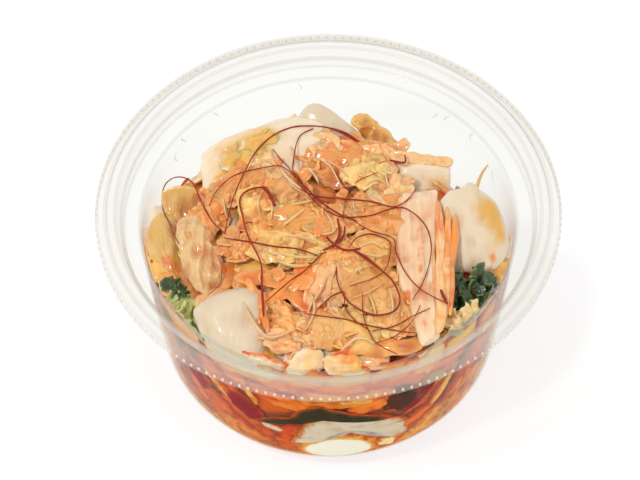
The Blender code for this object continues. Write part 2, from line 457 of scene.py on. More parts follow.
class Kind(Enum):
    """The finishes of the food, by what wears them."""

    STEM = moist("white_stem", "e6d4b8 ecdec8 e4b260 e6964c cea070",
                 grain=2.6, relief=0.12, roughness=0.26, glow=0.6, streak=1.1, wet=0.4)
    STEM_YELLOW = moist("yellow_stem", "f2ce8e f6e0b0 ecbc6e ee9042 dc924a",
                        grain=1.8, relief=0.25, roughness=0.22, glow=0.6, streak=1.0, streak_length=5.0)
    STEM_RIBBED = moist("ribbed_stem", "f0caa0 f6debe f2debe e47836 d8844c",
                        grain=1.6, relief=0.2, roughness=0.22, glow=0.6, streak=0.9)
    LEAF = moist("yellow_leaf", "ecb862 f4ce84 f2ce88 ea8230 be681e",
                 grain=1.6, relief=0.3, roughness=0.2, glow=0.45, streak=1.0, streak_length=4.0, rim=0.6,
                 depth=0.7)
    DRESSED = moist("dressed_leaf", "f6a052 fcca8e f4be74 ec6620 ca5018",
                    grain=0.9, relief=0.5, roughness=0.17, glow=0.45, speckle=0.3, streak=0.8,
                    streak_length=3.0, rim=0.6, depth=0.65)
    BLUSH = moist("blushed_leaf", "f8ba7e fcd6a6 f4ca8a f07a34 d86a2c",
                  grain=1.0, relief=0.45, roughness=0.17, glow=0.45, speckle=0.2, streak=0.8,
                  streak_length=3.5, rim=0.6, depth=0.65)
    TAN = moist("soaked_leaf", "eaa050 f6c47e eeba6c e0661e b64c14",
                grain=1.8, relief=0.3, roughness=0.18, glow=0.45, streak=1.2, streak_length=4.0, rim=0.6,
                depth=0.7)
    CARROT = moist("carrot", "f69642 fabc7a fac48c ec6c22 dc5c1a",
                   grain=0.8, relief=0.2, roughness=0.2, glow=0.5, streak=0.7)
    GREEN = moist("green_leaf", "344a22 6e8242 526a32 222c10 0a1208",
                  grain=1.4, relief=0.5, roughness=0.2, glow=0.06, streak=1.2, streak_length=3.0)
    PALE_GREEN = moist("pale_green_leaf", "baba68 e2e2a0 cec882 8c9236 58601e",
                       grain=1.1, relief=0.4, roughness=0.26, glow=0.25, streak=1.1, streak_length=4.0)
    THREAD = moist("chili_thread", "a42816 be4628 96241a 7e1610 540e0a",
                   grain=0.7, relief=0.06, roughness=0.3, glow=0.0, wet=0.5)
    CRIMSON = moist("crimson_leaf", "9a181e ba3e22 b03a22 860a1a 540810",
                    grain=2.4, relief=0.2, roughness=0.25, glow=0.1)
    ORANGE = moist("orange_leaf", "e87428 f09c4c f09646 ce3e12 9c260c",
                   grain=2.6, relief=0.25, roughness=0.25, glow=0.2)
    DARK = moist("dark_leaf", "322c16 544822 424822 542214 100c06",
                 grain=1.6, relief=0.4, roughness=0.3, glow=0.0)
    # The core's colours are the dressed leaf in painted deep shade, as it shows only in deep gaps.
    CORE = moist("heap_core", "d66a28 e69242 e28c3c b03010 781808",
                 grain=2.2, relief=0.5, roughness=0.3, glow=0.1)


LEAF_SLOT = "dressed_leaf"
SLOTS = {Kind.STEM: "stem", Kind.STEM_RIBBED: "stem", Kind.STEM_YELLOW: "stem", Kind.CARROT: "carrot",
         Kind.GREEN: "green_leaf", Kind.PALE_GREEN: "green_leaf", Kind.DARK: "green_leaf"}
# A near-white piece: painted light that shows through the gap at the front of the base.
GAP_LIGHT = moist("bright_stem_end", "fff8e4 f0b032 fef6c8 fae28c f0be5a",
               grain=3.0, relief=0.1, roughness=0.2, glow=0.2, wet=0.0)
PLASTIC = Clear("clear_plastic", haze=0.16)
# The knurls are painted near-white: a painted highlight for the small glints the real ridges catch.
KNURL = Clear("knurl_plastic", milk=(1.0, 0.97, 0.92), milkiness=0.42, edge_share=0.2, sharpness=2.0,
              mirror=3.0)
WATER = Clear("clear_drop", milk=(0.5, 0.51, 0.5), milkiness=0.02, edge_share=0.6, sharpness=2.5)
POOL = Oil("oil_pool", thin=(1.0, 0.82, 0.5), cover=0.45, patch=3.5, low=0.5, high=0.9)
FILM = Oil("oil_film", thin=(1.0, 0.86, 0.62), cloud=(0.45, 0.05, 0.015), cover=0.55, patch=4.0, low=0.45,
           high=1.0)


# ---------------------------------------------------------------- shapes


HASH_PRIMES = (73856093, 19349663, 83492791)


def noise3(points: np.ndarray, seed: int) -> np.ndarray:
    """Smooth value noise.

    Args:
        points: places, one a row; a step of 1 is the noise's size.
        seed: which noise.

    Returns:
        A value from -1 to 1 for each place.
    """
    cell = np.floor(points).astype(np.int64)
    part = points - cell
    ease = part * part * (3 - 2 * part)
    total = np.zeros(len(points))
    for corner in np.ndindex(2, 2, 2):
        spot = cell + corner
        code = np.bitwise_xor.reduce(spot * HASH_PRIMES, axis=1) ^ (seed * 40503)
        code = ((code & 0xFFFFFFFF) * 2654435761) & 0xFFFFFFFF
        code = ((code ^ (code >> 15)) * 2246822519) & 0xFFFFFFFF
        share = np.where(np.array(corner) == 1, ease, 1 - ease).prod(axis=1)
        total += share * ((code ^ (code >> 13)) / 0xFFFFFFFF * 2 - 1)
    return total


def smooth_loop(points: Sequence[Point2], count: int, closed: bool = True) -> np.ndarray:
    """A smooth line through a few points.

    Args:
        points: the points, of any dimension.
        count: how many places to read along it.
        closed: whether it returns to its start.

    Returns:
        The places, one a row.
    """
    given = np.array(points, float)
    total = len(given)
    spans = total if closed else total - 1
    where = np.linspace(0, spans, count, endpoint=not closed)
    first = np.minimum(where.astype(int), spans - 1)
    share = (where - first)[:, None]

    def at(step: int) -> np.ndarray:
        """The given points, a step along from each span's first."""
        return given[(first + step) % total] if closed else given[np.clip(first + step, 0, total - 1)]

    before, start, end, after = at(-1), at(0), at(1), at(2)
    curve = 2 * start + (end - before) * share
    curve += (2 * before - 5 * start + 4 * end - after) * share**2
    curve += (3 * start - before - 3 * end + after) * share**3
    return curve / 2


def ring_faces(count: int, rings: int, first: int, tip: int, last: int) -> list[tuple[int, ...]]:
    """Quads between rings of points, with a fan at each end.

    Args:
        count: how many points a ring has.
        rings: how many rings there are.
        first: the first point of the first ring.
        tip, last: the single points at the two ends.

    Returns:
        The faces.
    """
    after = [(j + 1) % count for j in range(count)]
    faces = [(tip, first + j, first + k) for j, k in enumerate(after)]
    far = first
    for _ in range(rings - 1):
        near, far = far, far + count
        faces += [(near + j, far + j, far + k, near + k) for j, k in enumerate(after)]
    return faces + [(last, far + k, far + j) for j, k in enumerate(after)]


@dataclass
class Body:
    """Points in mm, faces, and the values that the finish reads."""

    points: np.ndarray
    faces: list[tuple[int, ...]]
    values: dict[str, np.ndarray] = field(default_factory=dict)


VALUES = ("edge", "oil", "hollow", "tint", "across", "along", "second")


def make_piece(name: str, bodies: Sequence[Body], finish: Finish) -> bpy.types.Object:
    """Joins bodies into one smooth object.

    Args:
        name: the piece's name.
        bodies: what it is made of.
        finish: its material.

    Returns:
        The object, at the origin.
    """
    points, faces, start = [], [], 0
    for body in bodies:
        points.append(body.points)
        faces += [tuple(index + start for index in face) for face in body.faces]
        start += len(body.points)
    mesh = bpy.data.meshes.new(name)
    mesh.from_pydata(np.concatenate(points) * MM, [], faces)
    for key in VALUES:
        column = [body.values.get(key, np.zeros(len(body.points))) for body in bodies]
        mesh.attributes.new(key, "FLOAT", "POINT").data.foreach_set("value", np.concatenate(column))
    mesh.shade_smooth()
    mesh.materials.append(finish.material())
    mesh.validate()
    made = bpy.data.objects.new(name, mesh)
    bpy.context.scene.collection.objects.link(made)
    return made


def revolve(profile: Sequence[Point2], steps: int) -> Body:
    """Turns a line round the Z axis.

    Args:
        profile: (radius, height) points; it ends on the axis, or is joined up where it doesn't touch it.
        steps: how many steps make the round.

    Returns:
        The turned body.
    """
    line = np.array(profile, float)
    angles = np.linspace(0, math.tau, steps, endpoint=False)
    open_line = line[line[:, 0] > 1e-6]
    grid = np.stack([
        np.outer(open_line[:, 0], np.cos(angles)), np.outer(open_line[:, 0], np.sin(angles)),
        np.repeat(open_line[:, 1:2], steps, axis=1)], axis=-1)
    points = grid.reshape(-1, 3)
    rows = len(open_line)
    capped = line[0, 0] <= 1e-6
    faces = []
    for i in range(rows - 1 if capped else rows):
        low, high = i * steps, ((i + 1) % rows) * steps
        faces += [(low + j, low + (j + 1) % steps, high + (j + 1) % steps, high + j) for j in range(steps)]
    if capped:
        points = np.concatenate([points, [[0, 0, line[0, 1]], [0, 0, line[-1, 1]]]])
        tip, top = len(points) - 2, (rows - 1) * steps
        faces += [(tip, (j + 1) % steps, j) for j in range(steps)]
        faces += [(tip + 1, top + j, top + (j + 1) % steps) for j in range(steps)]
    return Body(points, faces)


@dataclass(frozen=True)
class Wall:
    """The bowl's turned wall, in mm."""

    thickness: float = 0.5
    skirt_drop: float = 3.2
    bead: float = 1.1
    bead_inner: float = 62.0
    flange_inner: float = 59.0
    seat_outer: float = 57.2
    seat_depth: float = 6.3
    body_top: float = 52.6
    bow: float = 0.45
    corner: float = 12.2
    corner_centre: float = 37.05
    corner_end: float = -6.4
    ring_inner: float = 31.5
    push_up: float = 1.6
    push_up_radius: float = 28.5

    def corner_line(self, count: int) -> list[Point2]:
        """Outer face of the base's round corner."""
        return arc((self.corner_centre, self.corner), self.corner, -90, self.corner_end, count)

    def body_line(self, count: int) -> list[Point2]:
        """Outer face of the body, from the corner up to the seat.

        Args:
            count: how many steps it has.

        Returns:
            Its points.
        """
        radius, height = self.corner_line(1)[-1]
        top = HEIGHT - self.seat_depth - self.thickness
        shares = [i / count for i in range(1, count + 1)]
        eased = [(1 + self.bow) * s - self.bow * s * s for s in shares]
        return [(radius + (self.body_top - radius) * e, height + (top - height) * s) for e,
                s in zip(eased, shares)]

    def inside(self, height: Union[float, np.ndarray]) -> np.ndarray:
        """Inner radius at a height."""
        line = np.array(self.corner_line(24) + self.body_line(24))
        return np.interp(height, line[:, 1], line[:, 0]) - self.thickness


WALL = Wall()
LOWEST_BEARING = 70.0
DRAPE_LEVEL = 60.0
MEAN_RADIUS = 50.0
WINDOW_SCALE = 1.14
GOLDEN_ANGLE = 2.39996
# How far up the view, in mm, the furthest large pieces stand at each X; what lies behind them is lower.
SKYLINE = ((-50, 0.0), (-43, 6.0), (-37, 12.5), (-28, 18.0), (-14, 22.0), (-2, 27.0), (10, 23.0),
           (18, 16.0), (30, 11.5), (36, 6.5), (42, 3.5), (50, -8.0))
FOOD = ("heap_core", "stem_", "leaf_", "crinkled_", "filler_", "green_", "pale_", "yellow_", "carrot_")


def arc(centre: Point2, radius: float, start: float, end: float, count: int) -> list[Point2]:
    """Points of an arc in the (radius, height) plane.

    Args:
        centre: its centre.
        radius: its radius.
        start, end: its angles in degrees.
        count: how many steps it has.

    Returns:
        The points, both ends included.
    """
    angles = np.radians(np.linspace(start, end, count + 1))
    return [(centre[0] + radius * math.cos(a), centre[1] + radius * math.sin(a)) for a in angles]


def ground(x: np.ndarray, y: np.ndarray) -> np.ndarray:
    """Height of the heap's even top.

    Args:
        x, y: places in plan.

    Returns:
        The height at each: nearly level, and falling away behind the furthest large pieces.
    """
    turn = np.arctan2(y, x) - math.radians(LOWEST_BEARING)
    slope = np.clip((np.hypot(x, y) / WALL.body_top - 0.52) / 0.48, 0, 1.1)
    even = 56.0 - (4.5 + 20.5 * ((1 + np.cos(turn)) / 2) ** 2) * slope**2
    skyline = np.interp(x, *zip(*SKYLINE)) - 5.0
    hidden = HEIGHT + (skyline - y * math.sin(SERVING_ANGLE)) / math.cos(SERVING_ANGLE)
    return np.minimum(even, np.maximum(hidden, 20))


@dataclass(frozen=True)
class Cut:
    """One cut piece of vegetable: an outline with a thickness, crumpled, bent, leaned and put in place.

    The outline is around the piece's own middle unless in_place is set, when it is in the bowl's plan.
    """

    outline: Sequence[Point2]
    at: Point3
    thickness: float = 3.0
    fullness: float = 4.0
    crown: float = 0.0
    # depth, size and lean of the folds
    crumple: Point3 = (0.0, 5.0, 1.0)
    frill: float = 0.0
    ripple: float = 0.0
    ripples: int = 7
    # height and spacing
    ribs: Point2 = (0.0, 2.5)
    bend: Point2 = (0.0, 0.0)
    pitch: float = 0.0
    roll: float = 0.0
    turn: float = 0.0
    oil: float = 0.0
    tint: float = 0.5
    second: float = 0.0
    # value, X, Y, radius and strength of each spot; in the bowl's plan where in_place is set
    zones: tuple = ()
    grain: float = 0.0
    seed: int = 1
    rings: int = 9
    steps: int = 48
    in_place: bool = False

    def body(self) -> Body:
        """Builds the cut.

        Returns:
            The closed body, pressed in where it would pass through the wall.
        """
        body = self.placed(self.local())
        reach = np.hypot(body.points[:, 0], body.points[:, 1])
        limit = WALL.inside(body.points[:, 2]) - 0.4
        body.points[:, :2] *= np.minimum(1, limit / np.maximum(reach, 1e-6))[:, None]
        return body

    def local(self) -> Body:
        """Shapes the cut around its own middle.

        Returns:
            The body before it is leaned.
        """
        loop = smooth_loop(self.outline, self.steps)
        middle = loop.mean(axis=0)
        loop = loop - middle
        if self.in_place:
            loop[:, 1] *= math.sin(SERVING_ANGLE) / math.sin(SERVING_ANGLE + math.radians(self.pitch))
        angles = np.arctan2(loop[:, 1], loop[:, 0])
        ring_shares = np.sin(np.arange(1, self.rings + 1) / self.rings * math.pi / 2) ** 0.85
        shares = np.concatenate([[0], ring_shares, ring_shares[-2::-1], [0]])
        sides = np.concatenate([[1], np.ones(self.rings), -np.ones(self.rings - 1), [-1]])
        rows = [1] + [self.steps] * (2 * self.rings - 1) + [1]
        plan = np.concatenate([loop[:n] * s for s, n in zip(shares, rows)])
        share = np.concatenate([np.full(n, s) for s, n in zip(shares, rows)])
        side = np.concatenate([np.full(n, s) for s, n in zip(sides, rows)])
        angle = np.concatenate([angles[:n] for n in rows])
        flat = np.column_stack([plan, np.full(len(plan), self.seed * 3.7)])
        if self.frill:
            wobble = noise3(np.column_stack([np.cos(angle) * 3.1, np.sin(angle) * 3.1, flat[:, 2]]),
                            self.seed + 5)
            wobble += 0.6 * noise3(np.column_stack([np.cos(angle) * 8, np.sin(angle) * 8, flat[:, 2]]),
                                   self.seed)
            plan = plan * (1 + self.frill * wobble * share**2)[:, None]
        lift = self.crown * (1 - share**2)
        lift += self.ripple * np.sin(self.ripples * angle + self.seed) * share**2.5
        rib, spacing = self.ribs
        lift += rib * np.cos(math.tau * plan[:, 0] / spacing) * (1 - share**6)
        depth, size, lean = self.crumple
        folds = flat * (lean, 1, 1)
        ridge = 1 - 2.2 * np.abs(noise3(folds / size, self.seed))
        fine = noise3(folds / (size * 0.42), self.seed + 9)
        crease = depth * (0.65 * ridge + 0.45 * fine)
        lift += crease
        half = self.thickness / 2 * np.sqrt(np.maximum(0, 1 - share**self.fullness))
        points = np.column_stack([plan, lift + side * half])
        hollow = np.zeros(len(plan))
        if depth:
            # Painted shade, darkest at the bottom of each crease.
            hollow = np.clip(0.5 - crease / depth * 0.55, 0, 1)
            for axis in (0, 1):
                shift = noise3(flat / (size * 0.8), self.seed + 20 + axis)
                points[:, axis] += depth * 0.55 * shift
        along = math.radians(self.grain)
        values = {
            "edge": share**4, "oil": np.full(len(plan), self.oil), "hollow": hollow,
            "tint": np.full(len(plan), self.tint),
            "along": plan[:, 0] * math.cos(along) + plan[:, 1] * math.sin(along) + self.seed * 7.3,
            "across": plan[:, 1] * math.cos(along) - plan[:, 0] * math.sin(along) + self.seed * 5.1,
            "second": np.full(len(plan), self.second)}
        seen = plan + middle if self.in_place else plan
        for name, x, y, radius, strength in self.zones:
            away = np.sum((seen - (x, y)) ** 2, axis=1)
            values[name] = values[name] + strength * np.exp(-away / radius**2)
        return Body(points, ring_faces(self.steps, 2 * self.rings - 1, 1, 0, len(points) - 1), values)

    def placed(self, body: Body) -> Body:
        """Bends, leans, turns and moves the cut.

        Args:
            body: the cut around its own middle.

        Returns:
            The body in its place.
        """
        points = body.points
        for axis, bend in enumerate(self.bend):
            if bend:
                angle, height = points[:, axis] / bend, points[:, 2].copy()
                points[:, axis] = (bend - height) * np.sin(angle)
                points[:, 2] = bend - (bend - height) * np.cos(angle)
        turn = Euler([math.radians(a) for a in (self.pitch, self.roll, self.turn)], "XYZ").to_matrix()
        points = points @ np.array(turn).T
        centre = np.array(self.at, float)
        if self.in_place:
            centre[:2] += smooth_loop(self.outline, self.steps).mean(axis=0)
        return Body(points + centre, body.faces, body.values)


def ribbon(line: Sequence[Point2], widths: Sequence[float]) -> list[Point2]:
    """The outline of a strip.

    Args:
        line: its centre line.
        widths: its width at each point of the line.

    Returns:
        The outline's points, down one side and up the other.
    """
    centre = np.array(line, float)
    along = np.gradient(centre, axis=0)
    across = np.column_stack([-along[:, 1], along[:, 0]]) / np.linalg.norm(along, axis=1)[:, None]
    offset = across * np.array(widths)[:, None] / 2
    return [tuple(point) for point in np.concatenate([centre + offset, (centre - offset)[::-1]])]


def oval(length: float, width: float, square: float = 2.4) -> list[Point2]:
    """A squarish oval outline.

    Args:
        length, width: its size.
        square: 2 is an ellipse, and more is squarer.

    Returns:
        Its points.
    """
    angles = np.linspace(0, math.tau, 16, endpoint=False)
    cos, sin = np.cos(angles), np.sin(angles)
    x = np.sign(cos) * np.abs(cos) ** (2 / square) * length / 2
    y = np.sign(sin) * np.abs(sin) ** (2 / square) * width / 2
    return list(zip(x, y))


# ---------------------------------------------------------------- geometry nodes


@dataclass(frozen=True)
class Recipe:
    """A Geometry Nodes tree with named inputs that turns an object into a finished plain mesh."""

    name: str
    build: Callable[[Graph, bpy.types.Node], Wire]
    inputs: dict[str, float]

    def run(self, source: bpy.types.Object, finish: Finish) -> bpy.types.Object:
        """Applies the tree.

        Args:
            source: a mesh or curve object, which is removed afterwards.
            finish: the material that the tree sets.

        Returns:
            A new object with the result as its mesh.
        """
        tree = bpy.data.node_groups.new(self.name, "GeometryNodeTree")
        tree.interface.new_socket("Geometry", in_out="INPUT", socket_type="NodeSocketGeometry")
        tree.interface.new_socket("Geometry", in_out="OUTPUT", socket_type="NodeSocketGeometry")
        for label in self.inputs:
            tree.interface.new_socket(label, in_out="INPUT", socket_type="NodeSocketFloat")
        graph = Graph(tree)
        result = self.build(graph, graph.node("NodeGroupInput"))
        plain = graph.wire("GeometryNodeRealizeInstances", {}, {0: result})
        dressed = graph.wire("GeometryNodeSetMaterial", {},
                             {"Geometry": plain, "Material": finish.material()})
        graph.node("NodeGroupOutput", {}, {0: dressed})
        modifier = source.modifiers.new(self.name, "NODES")
        modifier.node_group = tree
        for item in tree.interface.items_tree:
            if item.in_out == "INPUT" and item.name in self.inputs:
                modifier[item.identifier] = self.inputs[item.name]
        source.update_tag()
        graph_now = bpy.context.evaluated_depsgraph_get()
        mesh = bpy.data.meshes.new_from_object(source.evaluated_get(graph_now))
        source.modifiers.clear()
        mesh.shade_smooth()
        name = source.name
        bpy.data.objects.remove(source)
        made = bpy.data.objects.new(name, mesh)
        mesh.name = name
        bpy.context.scene.collection.objects.link(made)
        return made


@dataclass(frozen=True)
class Strand:
    """A strand along a route, with its thickness at each end and in its middle."""

    route: Sequence[Point3]
    width: float
    taper: float
    swell_at: float = 0.5


def strands_object(name: str, strands: Sequence[Strand], spacing: float) -> bpy.types.Object:
    """A curve object with one poly spline a strand.

    Args:
        name: the object's name.
        strands: the strands.
        spacing: the distance between points, in mm.

    Returns:
        The curve object.
    """
    curve = bpy.data.curves.new(name, "CURVE")
    curve.dimensions = "3D"
    for strand in strands:
        rough = np.array(strand.route, float)
        length = np.linalg.norm(np.diff(rough, axis=0), axis=1).sum()
        line = smooth_loop(strand.route, max(8, int(length / spacing)), closed=False)
        share = np.linspace(0, 1, len(line))
        away = np.abs(share - strand.swell_at) / max(strand.swell_at, 1 - strand.swell_at)
        radius = strand.width / 2 * (1 - (1 - strand.taper) * away**2)
        radius *= 1 + 0.12 * noise3(line / 1.7, 3)
        spline = curve.splines.new("POLY")
        spline.points.add(len(line) - 1)
        spline.points.foreach_set("co", np.column_stack([line * MM, np.ones(len(line))]).ravel())
        spline.points.foreach_set("radius", radius * MM)
    made = bpy.data.objects.new(name, curve)
    bpy.context.scene.collection.objects.link(made)
    return made


def sweep(sides: int, flatness: float) -> Callable[[Graph, bpy.types.Node], Wire]:
    """A tree that sweeps an oval along each strand.

    Args:
        sides: how many sides the oval has.
        flatness: its height over its width.

    Returns:
        The function that lays out the tree.
    """

    def build(graph: Graph, inputs: bpy.types.Node) -> Wire:
        """Lays out the nodes.

        Args:
            graph: the tree.
            inputs: its input node, with the strands and their thickness.

        Returns:
            The swept mesh.
        """
        ring = graph.wire("GeometryNodeCurvePrimitiveCircle", {}, {"Resolution": sides, "Radius": 1.0})
        size = graph.wire("ShaderNodeCombineXYZ", {}, {0: flatness, 1: 1.0, 2: 1.0})
        oval_ring = graph.wire("GeometryNodeTransform", {}, {"Geometry": ring, "Scale": size})
        scale = graph.wire("GeometryNodeInputRadius") * Wire(graph, inputs.outputs["Thickness"])
        sockets = {"Curve": inputs.outputs[0], "Profile Curve": oval_ring, "Scale": scale,
                   "Fill Caps": True}
        return graph.wire("GeometryNodeCurveToMesh", {}, sockets)

    return build


def strand_piece(name: str, strands: Sequence[Strand], finish: Finish, sides: int, flatness: float,
                 spacing: float) -> bpy.types.Object:
    """Sweeps strands into one plain mesh.

    Args:
        name: the piece's name.
        strands: the strands.
        finish: their material.
        sides: how many sides a strand has.
        flatness: a strand's height over its width.
        spacing: the distance between rings, in mm.

    Returns:
        The object.
    """
    source = strands_object(name, strands, spacing)
    return Recipe(name + "_sweep", sweep(sides, flatness), {"Thickness": 1.0}).run(source, finish)


# ---------------------------------------------------------------- sub-assemblies


def seat_piece(piece: bpy.types.Object, slot: str, *nodes: str) -> None:
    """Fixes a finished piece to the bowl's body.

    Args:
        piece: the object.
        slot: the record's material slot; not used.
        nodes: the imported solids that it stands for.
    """
    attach(piece, BODY)
    if nodes:
        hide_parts(*nodes)
    LOG.info("%s: %d faces", piece.name, len(piece.data.polygons))


@dataclass
class DeliBowl:
    """The clear turned bowl, with its knurled skirt."""

    wall: Wall = WALL
    steps: int = 240
    knurls: int = 168
    knurl_size: Point3 = (0.3, 0.42, 0.6)
    fillet: float = 0.7

    def outer_line(self) -> np.ndarray:
        """The outer face, from the middle of the base to the skirt's edge.

        Returns:
            Its points, with a mark on each moulded corner in a third column.
        """
        wall, top, seat = self.wall, HEIGHT, HEIGHT - self.wall.seat_depth
        bead = RIM_RADIUS - wall.bead
        line = [(0.0, wall.push_up), (wall.push_up_radius, wall.push_up), (wall.ring_inner, 0.0)]
        line += wall.corner_line(10) + wall.body_line(12)
        line += [(wall.seat_outer, seat - 0.5), (wall.seat_outer + 0.75, seat + 2.0)]
        line += [(wall.seat_outer + 0.35, seat + 3.1), (wall.flange_inner, top - 0.5)]
        line += [(wall.bead_inner - 0.4, top - 0.5), (wall.bead_inner, top)]
        line += arc((bead, top - wall.bead), wall.bead - wall.thickness, 90, 0, 4)
        line += [(RIM_RADIUS - wall.thickness, top - wall.skirt_drop + lift) for lift in (0.12, 0.0)]
        return self.rounded(line)

    def rounded(self, line: list[Point2]) -> np.ndarray:
        """Rounds the sharp corners of a line.

        Args:
            line: its points.

        Returns:
            The rounded line, with 1 in a third column on each short curve.
        """
        points = [np.array(point) for point in line]
        result = [(*line[0], 0.0)]
        for before, corner, after in zip(points, points[1:], points[2:]):
            back, ahead = before - corner, after - corner
            reach = min(self.fillet, np.linalg.norm(back) / 2.2, np.linalg.norm(ahead) / 2.2)
            back, ahead = back / np.linalg.norm(back), ahead / np.linalg.norm(ahead)
            if back @ ahead < -0.97:
                result.append((*corner, 0.0))
                continue
            start, end = corner + back * reach, corner + ahead * reach
            for share, mark in ((0.0, 0), (0.25, 1), (0.75, 1), (1.0, 0)):
                spot = start * (1 - share) ** 2 + corner * 2 * share * (1 - share) + end * share**2
                result.append((*spot, mark))
        return np.array(result + [(*line[-1], 0.2)])

    def shell(self) -> Body:
        """The turned shell.

        Returns:
            The shell, with its moulded corners marked where they catch the light.
        """
        outer = self.outer_line()
        along = np.gradient(outer[:, :2], axis=0)
        along /= np.linalg.norm(along, axis=1)[:, None]
        inner = outer[:, :2] + np.column_stack([-along[:, 1], along[:, 0]]) * self.wall.thickness
        inner[0, 0] = 0.0
        inner[:, 1] = np.minimum(inner[:, 1], HEIGHT)
        profile = np.concatenate([outer[:, :2], inner[::-1]])
        marks = np.concatenate([outer[:, 2], outer[::-1, 2]])[profile[:, 0] > 1e-6]
        body = revolve(profile, self.steps)
        body.values["edge"] = np.concatenate([np.repeat(marks, self.steps), [0, 0]])
        reach = np.hypot(body.points[:, 0], body.points[:, 1])
        body.values["tint"] = np.interp(reach, (self.wall.body_top, 54.0, 57.0, 59.0, 64.0),
                                        (0, 0.25, 0.3, 1, 0.9))
        return body

    def knurl_tree(self, graph: Graph, inputs: bpy.types.Node) -> Wire:
        """Lays a small ridge on each point of the skirt, turned to face outwards.

        Args:
            graph: the tree.
            inputs: its input node, with the points and the ridge's sizes.

        Returns:
            The ridges.
        """
        ridge = graph.wire("GeometryNodeMeshUVSphere", {}, {"Segments": 8, "Rings": 5, "Radius": MM})
        size = graph.wire("ShaderNodeCombineXYZ", {}, {
            0: Wire(graph, inputs.outputs["Depth"]), 1: Wire(graph, inputs.outputs["Width"]),
            2: Wire(graph, inputs.outputs["Length"])})
        shaped = graph.wire("GeometryNodeTransform", {}, {"Geometry": ridge, "Scale": size})
        out = graph.wire("ShaderNodeVectorMath", {"operation": "MULTIPLY"}, {
            0: graph.wire("GeometryNodeInputPosition"), 1: (1.0, 1.0, 0.0)})
        turned = graph.wire("FunctionNodeAlignRotationToVector", {"axis": "X"}, {"Vector": out})
        sockets = {"Points": inputs.outputs[0], "Instance": shaped, "Rotation": turned}
        return graph.wire("GeometryNodeInstanceOnPoints", {}, sockets)

    def build(self) -> None:
        """Makes the shell and its knurls."""
        shell = make_piece("clear_bowl", [self.shell()], PLASTIC)
        fix_normals(shell)
        seat_piece(shell, "clear_plastic", "bowl")
        angles = np.linspace(0, math.tau, self.knurls, endpoint=False)
        radius, height = RIM_RADIUS - 0.12, HEIGHT - self.wall.skirt_drop + 1.0
        ring = np.column_stack([radius * np.cos(angles), radius * np.sin(angles),
                                np.full(self.knurls, height)])
        source = make_piece("skirt_knurls", [Body(ring, [])], KNURL)
        depth, width, length = self.knurl_size
        recipe = Recipe("knurls", self.knurl_tree, {"Depth": depth, "Width": width, "Length": length})
        seat_piece(recipe.run(source, KNURL), "clear_plastic")


def fix_normals(piece: bpy.types.Object) -> None:
    """Turns every face of a closed piece outwards.

    Args:
        piece: the object.
    """
    shape = bmesh.new()
    shape.from_mesh(piece.data)
    bmesh.ops.recalc_face_normals(shape, faces=shape.faces)
    shape.to_mesh(piece.data)
    shape.free()


@dataclass
class OilPool:
    """The chili oil in the bottom, and the film it leaves on the wall."""

    level: float = 9.0
    film_top: float = 47.0
    reach_in: float = 0.12
    steps: int = 160

    def pool(self) -> Body:
        """The pool.

        Returns:
            Its body, which reaches just into the wall.
        """
        wall, low = WALL, WALL.thickness - self.reach_in
        profile = [(0.0, wall.push_up + low), (wall.push_up_radius, wall.push_up + low),
                   (wall.ring_inner, low)]
        heights = np.linspace(low + 0.4, self.level, 9)
        profile += [(float(wall.inside(h)) + self.reach_in, float(h)) for h in heights]
        edge = float(wall.inside(self.level))
        profile += [(edge - 1.0, self.level - 0.25), (edge - 3.0, self.level - 0.4),
                    (0.0, self.level - 0.4)]
        body = revolve(profile, self.steps)
        body.values["oil"] = np.full(len(body.points), 0.45)
        return body

    def film(self) -> Body:
        """The oil that clings inside the wall.

        Returns:
            A thin band, heaviest low down.
        """
        heights = np.linspace(2.5, self.film_top, 40)
        outer = [(1.0, float(h)) for h in heights]
        body = revolve(outer + [(0.9, height) for _, height in outer[::-1]], self.steps)
        share = (body.points[:, 2] - 2.5) / (self.film_top - 2.5)
        across = body.points[:, :2] / np.linalg.norm(body.points[:, :2], axis=1)[:, None]
        top = np.minimum(self.film_top, ground(across[:, 0] * MEAN_RADIUS, across[:, 1] * MEAN_RADIUS) - 4)
        height = 2.5 + (top - 2.5) * share
        outside = np.hypot(body.points[:, 0], body.points[:, 1]) > 0.95
        radius = WALL.inside(height) + np.where(outside, 0.05, -0.07)
        body.points = np.column_stack([across * radius[:, None], height])
        body.values["oil"] = 0.62 - 0.3 * share
        return body

    def build(self) -> None:
        """Makes the pool and the film."""
        for name, body, finish, nodes in (
                ("oil_pool", self.pool(), POOL, ("chili_oil",)), ("oil_on_wall", self.film(), FILM, ())):
            piece = make_piece(name, [body], finish)
            fix_normals(piece)
            seat_piece(piece, "chili_oil", *nodes)


